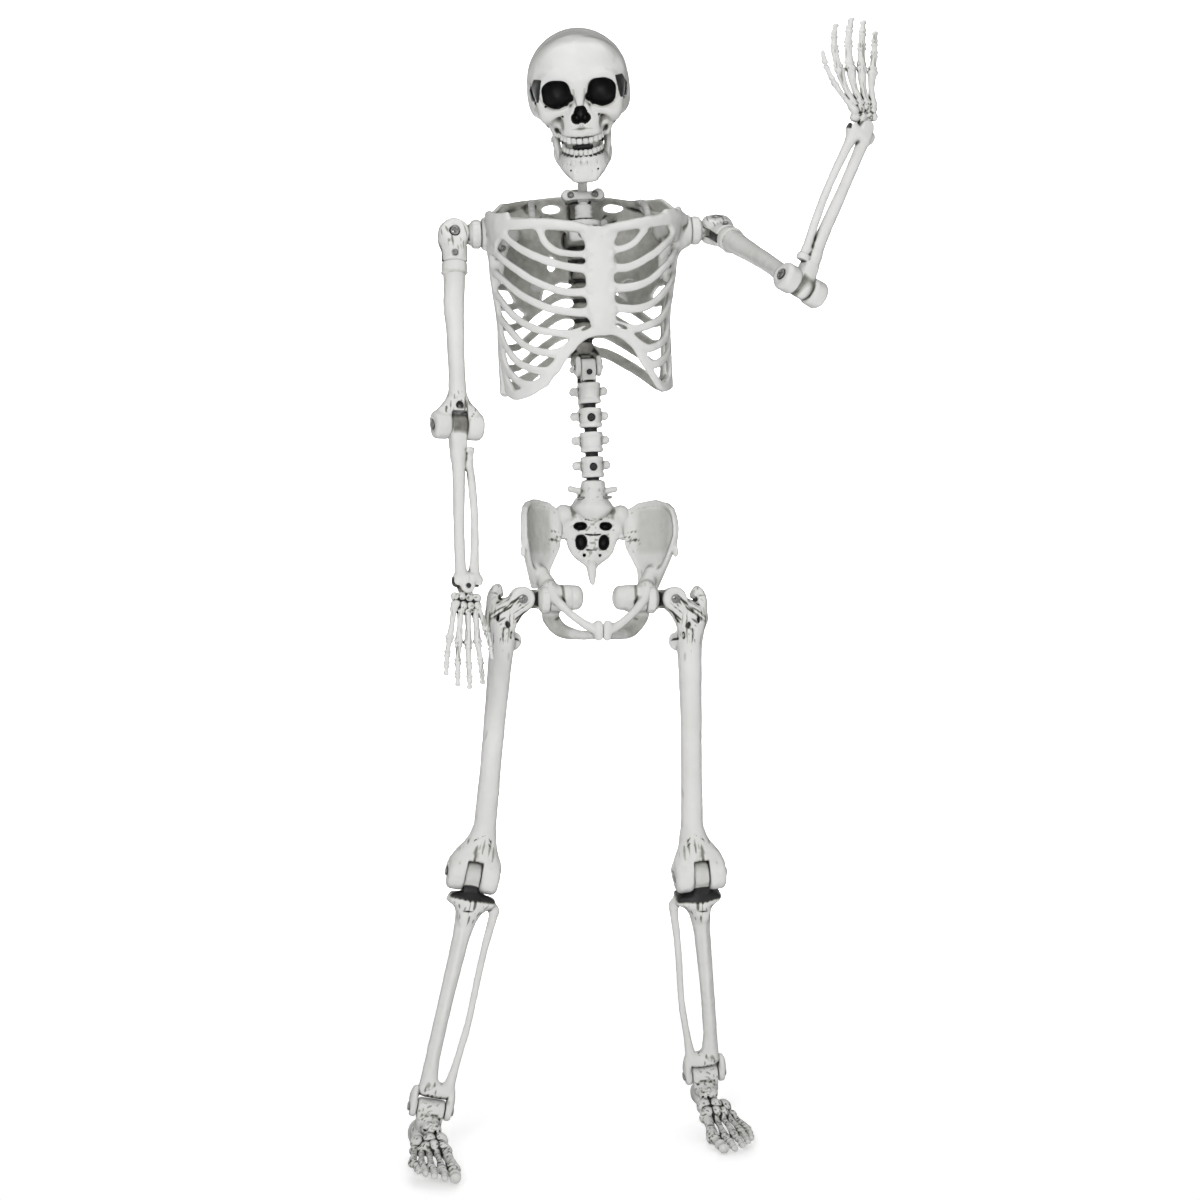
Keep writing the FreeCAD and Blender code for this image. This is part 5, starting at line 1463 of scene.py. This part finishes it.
# ------------------------------------------------------------------ spine and pelvis
def lumbar_spine():
    vol = Volume((-34, 24, 925), (34, 92, 1160), 1.25)
    vol.drum((0, SPINE_Y, BEND_Z), "x", 12.6, 10.7, 2.5, 0)
    vol.box((0, SPINE_Y, 1129), (10.4, 12, 11), 3, 2)
    vol.drum((0, SPINE_Y, 1046), "z", 9.6, 78, 1, 2)
    for top, bottom in ((1117.5, 1087), (1080, 1051.5), (1044, 1015), (1007.5, 977.5)):
        z, half = (top + bottom) / 2, (top - bottom) / 2
        vol.drum((0, SPINE_Y, top - 3.4), "z", 17.4, 3.8, 2.4, 1)
        vol.drum((0, SPINE_Y, bottom + 3.4), "z", 17.4, 3.8, 2.4, 1)
        vol.drum((0, SPINE_Y, z), "z", 15.6, half - 1, 2, 2)
        for side in BOTH:
            vol.tube([(side * 10, 56, z + 1), (side * 19, 58, z + 3), (side * 22.5, 59, z + 3)],
                     [8.5, 6.2, 5.6], 4, steps=2)
            vol.ball((side * 23.5, 59, z + 3.4), (5.0, 6.0, 6.2), 3)
            vol.ball((side * 11, 64, z + 8), (4.5, 5, 8), 2.5)
        vol.tube([(0, 62, z), (0, 74, z - 3), (0, 84, z - 7)], [6.5, 4.8, 4.6], 3,
                 flat=(1, 0, 0), ratio=0.6, steps=2)
    vol.drum((0, SPINE_Y, 956), "z", 8.8, 22, 1, 1)
    vol.drum((0, SPINE_Y, BEND_Z), "x", 4.2, 30, 0.3, 0.3, CUT)
    for z in (1065.7, 992.5):
        vol.drum((0, 36, z), "y", 5.8, 3.6, 0.8, 0.8, CUT)
    vol.noise(0.45, 11, 121)
    vol.noise(0.25, 6, 122)
    return vol


def paint_spine(x, y, z, wash_and_shade):
    """Dark core in the gaps between the vertebrae."""
    out = np.hypot(x, y - SPINE_Y)
    for top, bottom in ((1121, 1117), (1087, 1080), (1051.5, 1044), (1015, 1007.5),
                        (977.5, 969)):
        gap = (z < top + 0.8) & (z > bottom - 0.8)
        wash_and_shade = np.where(gap & (out < 12.6), 1.2, wash_and_shade)
        wash_and_shade = np.where(gap & (out < 14.2) & (out >= 12.6), np.maximum(wash_and_shade, 0.6), wash_and_shade)
    return wash_and_shade


def sacrum():
    vol = Volume((-62, 22, 806), (62, 98, 978), 1.45)
    # top vertebra, narrow above and flaring to the promontory
    vol.drum((0, 52, 966), "z", 17.5, 6.5, 3, 0)
    vol.cone((0, 53, 960), (0, 55, 934), 16.5, 25, 5)
    vol.ball((0, 49, 932), (29, 20, 13), 6)
    for side in BOTH:
        vol.tube([(side * 14, 54, 955), (side * 27, 54, 959), (side * 33, 54, 960)],
                 [5.5, 4.6, 5.0], 4, steps=2)
        vol.ball((side * 43, 58, 922), (14, 14, 15.5), 5)
        vol.ball((side * 38, 64, 902), (12, 12, 14), 7)
        vol.tube([(side * 34, 62, 912), (side * 31, 64, 884), (side * 24, 66, 866),
                  (side * 9, 66, 858)], [9, 7.5, 6.5, 7], 6, steps=4)
        vol.ball((side * 46, 62, 890), (6, 8, 5), 4)
    vol.tube([(0, 58, 922), (0, 62, 895), (0, 68, 870), (0, 68, 858)], [34, 32, 24, 14], 6,
             flat=(0, 1, 0), ratio=0.40)
    vol.tube([(0, 67, 858), (0, 64, 842), (0, 56, 821)], [10.5, 7.6, 4.0], 5)
    vol.ball((0, 60, 850), (6, 6, 4), 3)
    for side in BOTH:
        vol.ball((side * 19, 50, 905), (9.4, 16, 6.0), 2, CUT, turn("y", side * 12))
        vol.ball((side * 17, 54, 881), (8.2, 15, 11.5), 2, CUT, turn("y", side * 16))
        vol.ball((side * 12, 60, 862), (2.6, 12, 2.4), 1.2, CUT)
    for i, z in enumerate((915, 893, 871)):
        vol.tube([(-12, 45 + 6 * i, z), (0, 43.5 + 6 * i, z - 1), (12, 45 + 6 * i, z)],
                 1.1, 1.8, CUT)
    for z in (925, 905, 885):
        vol.ball((0, 82, z), (4, 6, 7), 3)
    vol.noise(0.7, 15, 131)
    vol.noise(0.35, 6, 132)

    def hole_shade(x, y, z, wash_and_shade):
        # painted shade in the two pairs of holes
        wash_and_shade = wash_and_shade * 1.1
        for hole_x, hole_z, wide, tall in ((19, 905, 9.6, 6.2), (17, 881, 8.4, 11.7)):
            across = (np.abs(x) - hole_x) * math.cos(math.radians(14))
            out = np.hypot(across / wide, (z - hole_z) / tall)
            wash_and_shade = np.maximum(wash_and_shade, 1.2 * ease(1.04, 0.92, out) * (y < 84) * (y > 40))
        return wash_and_shade
    return vol.skin(hole_shade, grime((0, 56, 892), 44, 0.35, 41), grime((0, 56, 950), 34, 0.22, 42))


# outline of the hip wing from its origin: (along the wing, z)
WING = [(-50, 50), (-34, 60), (-7, 63.5), (19.6, 59), (36, 50), (45, 38), (51, 21), (50, 8),
        (44, -4), (28, -26), (8, -51), (-4, -68), (-34, -68), (-34, -40), (-46, -17), (-52, 6),
        (-54, 28)]


def hip_bone():
    """Hip bone, outer side +x, in the trunk's own frame."""
    vol = Volume((-1.5, -72, 728), (142, 92, 962), 1.5)
    # wing, hollow towards the front
    vol.plate((90, 20, 880), (0.60, -0.80, 0.0), WING, 7.4, 4, bend=-0.0040, bend_up=0.0011,
              rim=2.6)
    vol.balls(((55, 57, 905), (9, 12, 20), 6), ((58, 54, 876), (8, 9, 8), 6))
    vol.cone((80, 16, 836), (70, 4, 806), 8, 14.5, 16)
    vol.ball((112, -18, 866), (4, 5, 8), 5)
    # socket drum, closed and rounded towards the middle
    vol.drum((56, 0, 798), "x", 19.8, 16, 4, 4)
    vol.drum((40, 1, 799), "x", 18.4, 12, 7, 3)
    vol.ball((30, 1, 799), (9, 17.2, 17.2), 3)
    # front ramus sweeping to the middle, rear ramus below it
    vol.tube([(72, -4, 814), (64, -20, 796), (45, -34, 776), (23, -44, 759), (4, -49, 751)],
             [9.4, 7.0, 6.0, 6.4, 7.0], 5, steps=5)
    vol.tube([(7, -50, 760), (6, -49, 743)], [6.8, 6.2], 4, steps=2)
    vol.tube([(66, 12, 790), (66, 26, 770), (52, 22, 752), (30, -8, 745), (8, -42, 745)],
             [15, 12.5, 11.0, 7.4, 6.0], 5, steps=5)
    vol.drum((75, 0, HIP_Z), "x", 16.5, 4.6, 1, 1, CUT)
    vol.drum((60, 0, HIP_Z), "x", 10.8, 14, 0.5, 0.6, CUT)
    vol.keep_side("x", 0.45, +1)
    vol.noise(0.5, 22, 141)
    vol.noise(0.3, 7, 142)

    def paint(x, y, z, wash_and_shade):
        out = np.hypot(y, z - HIP_Z)
        # painted shade inside the socket bore
        wash_and_shade = wash_and_shade + 0.9 * ease(17.5, 15.0, out) * (x > 60)
        wash_and_shade = wash_and_shade + 0.45 * ease(3.6, 1.0, np.abs(x - 55 - 0.10 * y)) * (out < 23) * (y < 16)
        # the hollow of the wing and the lower ring lie in shade
        along = 0.60 * (x - 90) - 0.80 * (y - 20)
        level = 0.80 * (x - 90) + 0.60 * (y - 20)
        wash_and_shade = wash_and_shade + (0.17 * ease(46, 26, np.abs(along)) * ease(848, 872, z)
                       * ease(941, 925, z) * (level < 8))
        return wash_and_shade + 0.26 * ease(-14, 6, y) * ease(778, 768, z)
    return vol.skin(paint, grime((57, 52, 884), 22, 0.5, 43), grime((72, -2, 812), 18, 0.25, 44))


# ------------------------------------------------------------------ neck and screws
def neck_post():
    vol = Volume((-28, 0, 1316), (28, 56, 1380), 1.1)
    vol.drum((0, NECK_Y, 1350), "z", 12.4, 27, 1.2, 0)
    vol.drum((0, NECK_Y, 1348.6), "z", 25, 4.4, 2, 1.5)
    for z in (1359, 1366, 1373):
        vol.drum((0, NECK_Y, z), "z", 13.3, 1.7, 0.8, 0.8)
    for degrees in range(0, 360, 45):
        cos, sin = math.cos(math.radians(degrees)), math.sin(math.radians(degrees))
        vol.tube([(18.5 * cos, NECK_Y + 18.5 * sin, 1353.5),
                  (23.5 * cos, NECK_Y + 23.5 * sin, 1353)], 1.0, 0.8, CUT)
    vol.drum((0, NECK_Y, 1380), "z", 7.3, 8, 0.4, 0.4, CUT)
    vol.noise(0.25, 9, 151)

    def collar(x, y, z, wash_and_shade):
        return wash_and_shade + (0.25 * (z > 1353.5) * ease(17, 13.5, np.hypot(x, y - NECK_Y))
                       * ease(1360, 1353, z))
    return vol.skin(collar)


def neck_clamp():
    vol = Volume((-36, -18, -24), (36, 18, 14), 0.95)
    for side in BOTH:
        vol.drum((side * 22.5, 0, 2), "y", 8.6, 14.0, 3.0, 1)
        vol.ball((side * 23.5, 0, 2), (9, 14.6, 8.4), 2)
    vol.box((0, 0, 1), (20, 11.5, 5.8), 3, 4)
    vol.ball((0, -9, 0), (10, 5, 5.6), 3)
    vol.drum((0, 0, -10), "z", 7.0, 12, 0.6, 1.0)
    vol.box((0, 4, 12), (8.5, 13, 20), 1, 0.6, CUT)
    for side in BOTH:
        vol.drum((side * 17.5, -14, 1.5), "y", 5.0, 3.4, 0.8, 0.8, CUT)
    vol.noise(0.2, 8, 161)
    return vol


def screw(radius, length, head, step=0.42):
    """Cross-head screw along +y: head at y=0, shank to y=length."""
    vol = Volume((-head - 1, -4.4, -head - 1), (head + 1, length + 1, head + 1), step)
    vol.drum((0, length / 2, 0), "y", radius, length / 2, 0.5, 0)
    vol.drum((0, -1.1, 0), "y", head, 1.3, 0.6, 0.3)
    vol.ball((0, -1.6, 0), (head * 0.97, 2.2, head * 0.97), 0.6)
    vol.box((0, -3.4, 0), (head * 0.62, 1.6, 0.72), 0.25, 0.25, CUT)
    vol.box((0, -3.4, 0), (0.72, 1.6, head * 0.62), 0.25, 0.25, CUT)
    return vol.skin()


def cross_bolt(half):
    """Bolt along x with a head at each end."""
    return place(screw(3.9, 2 * half - 6, 6.8, 0.6),
                 [shift(-half) @ turn("z", -90), shift(half) @ turn("z", 90)])


# ------------------------------------------------------------------ limbs
def build_limbs():
    # name, body, mesh: the same bone on both sides
    leg_bones = [("femur", "thigh", femur()), ("shin", "shin", shin_bones())]
    feet = {"right": foot(-5.0), "left": foot(5.0)}
    arm_bones = [("humerus", "upper_arm", humerus()), ("humeral_head", "arm_head", arm_head()),
                 ("forearm", "forearm", forearm_bones())]
    plain_hand = hand()
    hands = {"right": plain_hand, "left": curl(plain_hand)}
    knuckles = [("shoulder_knuckle", "shoulder", knuckle(ARM_HINGE)),
                ("hip_knuckle", "hip", knuckle(LEG_HINGE))]
    hip = hip_bone()
    hinge_bolt = place(screw(3.9, 38.0, 6.6, 0.55), [shift(0, -19.2, 0)])
    twist_screw = place(SMALL_SCREW, [shift(0, -18.6, -32)])
    # name, body it rides on, body it runs through, mesh
    cross_bolts = [("elbow_bolt", "upper_arm", "forearm", cross_bolt(36.6)),
                   ("knee_bolt", "thigh", "shin", cross_bolt(37.2)),
                   ("ankle_bolt", "shin", "foot", cross_bolt(30.4))]
    wrist_pin = place(screw(2.8, 20.0, 3.4, 0.4), [shift(0, -10.4, -FOREARM)])

    for side in ("right", "left"):
        bones = (leg_bones + [("foot", "foot", feet[side])] + arm_bones
                 + [("hand", "hand", hands[side])] + knuckles)
        mirror = side == "right"
        for name, body, mesh in bones:
            emit(f"{name}_{side}", f"{body}_{side}", mesh, mirror=mirror)
        emit("hip_bone_" + side, "pelvis", hip, TRUNK, mirror=mirror)
        # hinge bolts have their heads at the front
        for name, body, through in (("shoulder_bolt", "shoulder", "arm_head"),
                                    ("hip_bolt", "hip", "thigh")):
            emit(f"{name}_{side}", f"{body}_{side}", hinge_bolt, FRAMES[f"{through}_{side}"],
                 material=ZINC)
        emit("twist_screw_" + side, "arm_head_" + side, twist_screw, material=ZINC)
        for name, body, through, mesh in cross_bolts:
            emit(f"{name}_{side}", f"{body}_{side}", mesh, FRAMES[f"{through}_{side}"],
                 material=ZINC)
        emit("wrist_pin_" + side, "forearm_" + side, wrist_pin, material=DARK_PIN)


# ------------------------------------------------------------------ head and trunk
def screws(*places):
    return place(SMALL_SCREW, [shift(*spot) for spot in places])


def build_head_and_trunk():
    emit_halves("skull", "skull", skull(), 12, SKULL_PAINTS, HEAD, front_extra=upper_teeth())
    emit("jaw", "jaw", joined(jaw(), lower_teeth()), HEAD)
    emit_halves("ribcage", "torso", chest(), SPLIT_Y, (paint_chest,), TORSO)
    emit_halves("spine", "lumbar", lumbar_spine(), SPINE_Y, (paint_spine,), TORSO)
    emit("sacrum", "pelvis", sacrum(), TRUNK)
    emit("neck_post", "torso", neck_post(), TORSO)
    emit_halves("neck_clamp", "neck", neck_clamp(), 0)
    emit("neck_clamp_screws", "neck", screws((-17.5, -12.6, 1.5), (17.5, -12.6, 1.5)),
         material=ZINC)
    emit("spine_screws", "lumbar",
         screws((0, 37.2, 1065.7), (0, 37.2, 992.5), (0, 38.0, 1133)), TORSO, material=DARK_PIN)
    emit("ribcage_screws", "torso",
         screws((-127, -13.5, 1106), (106, -13.5, 1107), (126, -14.5, 1309),
                (-126, -14.5, 1309)), TORSO, material=ZINC)


def recolour_cad_pieces():
    """Materials of the CAD pieces that stay in view."""
    kept = dict.fromkeys(("skull_stem", "jaw_pins"), BONE)
    kept.update(dict.fromkeys(("waist_bend_pin", "nod_pin", "waist_twist_pin",
                               "pelvis_screws", "hanging_loop"), ZINC))
    for name, piece in product["nodes"].items():
        if name in kept:
            piece.data.materials.clear()
            piece.data.materials.append(kept[name])


SMALL_SCREW = screw(2.4, 14.0, 4.3)
build_limbs()
build_head_and_trunk()
recolour_cad_pieces()


# ------------------------------------------------------------------ stage (metres)
def floor_material():
    material, tree = new_material("studio_floor")
    shader = node(tree, "BsdfPrincipled", {"Base Color": (0.93, 0.93, 0.93, 1),
                                           "Roughness": 0.9, "Specular IOR Level": 0.1})
    # a little glow, seen by the camera only
    seen = node(tree, "LightPath").outputs["Is Camera Ray"]
    glow = node(tree, "Emission", {"Color": (1, 1, 1, 1),
                                   "Strength": calc(tree, "MULTIPLY", seen, 0.34)})
    both = node(tree, "AddShader", {0: shader.outputs[0], 1: glow.outputs[0]})
    node(tree, "OutputMaterial", {0: both.outputs[0]})
    return material


def floor():
    """Floor with a quarter-round sweep up into a rear wall."""
    sweep, sweep_y, half_width, drop = 2.0, 3.0, 11, 0.0004
    profile = [(y, 0.0) for y in np.linspace(-7.0, sweep_y, 26)]
    for degrees in np.linspace(0, 90, 14)[1:]:
        angle = math.radians(degrees)
        profile.append((sweep_y + sweep * math.sin(angle), sweep - sweep * math.cos(angle)))
    profile += [(sweep_y + sweep, z) for z in (3.5, 5.5, 8.0, 11.0)]
    columns = np.linspace(-half_width, half_width, 45)
    verts = [(x, y, z - drop) for x in columns for y, z in profile]
    rows = len(profile)
    faces = [(i * rows + j, (i + 1) * rows + j, (i + 1) * rows + j + 1, i * rows + j + 1)
             for i in range(len(columns) - 1) for j in range(rows - 1)]
    data = bpy.data.meshes.new("studio_floor")
    data.from_pydata(verts, [], faces)
    for polygon in data.polygons:
        polygon.use_smooth = True
    piece = bpy.data.objects.new("studio_floor", data)
    bpy.context.scene.collection.objects.link(piece)
    data.materials.append(floor_material())


def area_light(name, location, target, size, power):
    data = bpy.data.lights.new(name, "AREA")
    data.shape = "RECTANGLE"
    data.size, data.size_y = size
    data.energy = power
    light = bpy.data.objects.new(name, data)
    light.location = location
    aim = Vector(target) - Vector(location)
    light.rotation_euler = aim.to_track_quat("-Z", "Y").to_euler()
    bpy.context.scene.collection.objects.link(light)


def lights():
    area_light("key", location=(-1.7, -4.3, 2.2), target=(0, 0, 0.95), size=(1.2, 1.6), power=80)
    area_light("fill", location=(1.9, -3.4, 1.2), target=(0, 0, 0.8), size=(1.6, 1.6), power=20)
    area_light("top", location=(0, -0.4, 3.4), target=(0, 0, 1.0), size=(1.6, 1.2), power=16)
    area_light("wall", location=(0, 2.2, 1.6), target=(0, 5.0, 1.4), size=(7.0, 2.4), power=330)


def world():
    """Soft white fill, full white where the camera looks past the floor."""
    made = bpy.data.worlds.new("studio")
    bpy.context.scene.world = made
    made.use_nodes = True
    tree = made.node_tree
    fill, camera_extra = 0.30, 0.70
    seen = node(tree, "LightPath").outputs["Is Camera Ray"]
    strength = node(tree, "Math", {0: seen, 1: camera_extra, 2: fill}, operation="MULTIPLY_ADD")
    background = tree.nodes["Background"]
    background.inputs["Color"].default_value = (1, 1, 1, 1)
    tree.links.new(strength.outputs[0], background.inputs["Strength"])


def camera():
    """Level camera in front, turned a little to the figure's right."""
    azimuth = math.radians(-8.5)
    distance, height, aside = 3.070, 0.7956, 0.00292
    data = bpy.data.cameras.new("camera")
    made = bpy.data.objects.new("camera", data)
    bpy.context.scene.collection.objects.link(made)
    bpy.context.scene.camera = made
    data.sensor_width = 36.0
    data.lens = 63.08219178
    data.clip_end = 50
    right = np.array([math.cos(azimuth), math.sin(azimuth), 0])
    towards = np.array([math.sin(azimuth), -math.cos(azimuth), 0])
    made.location = tuple(np.array(BASE) / 1000.0 + right * aside + towards * distance
                          + np.array([0, 0, height]))
    made.rotation_euler = (math.radians(90), 0, azimuth)


floor()
lights()
world()
bpy.context.scene.view_settings.view_transform = "Standard"
bpy.context.scene.view_settings.look = "None"
camera()
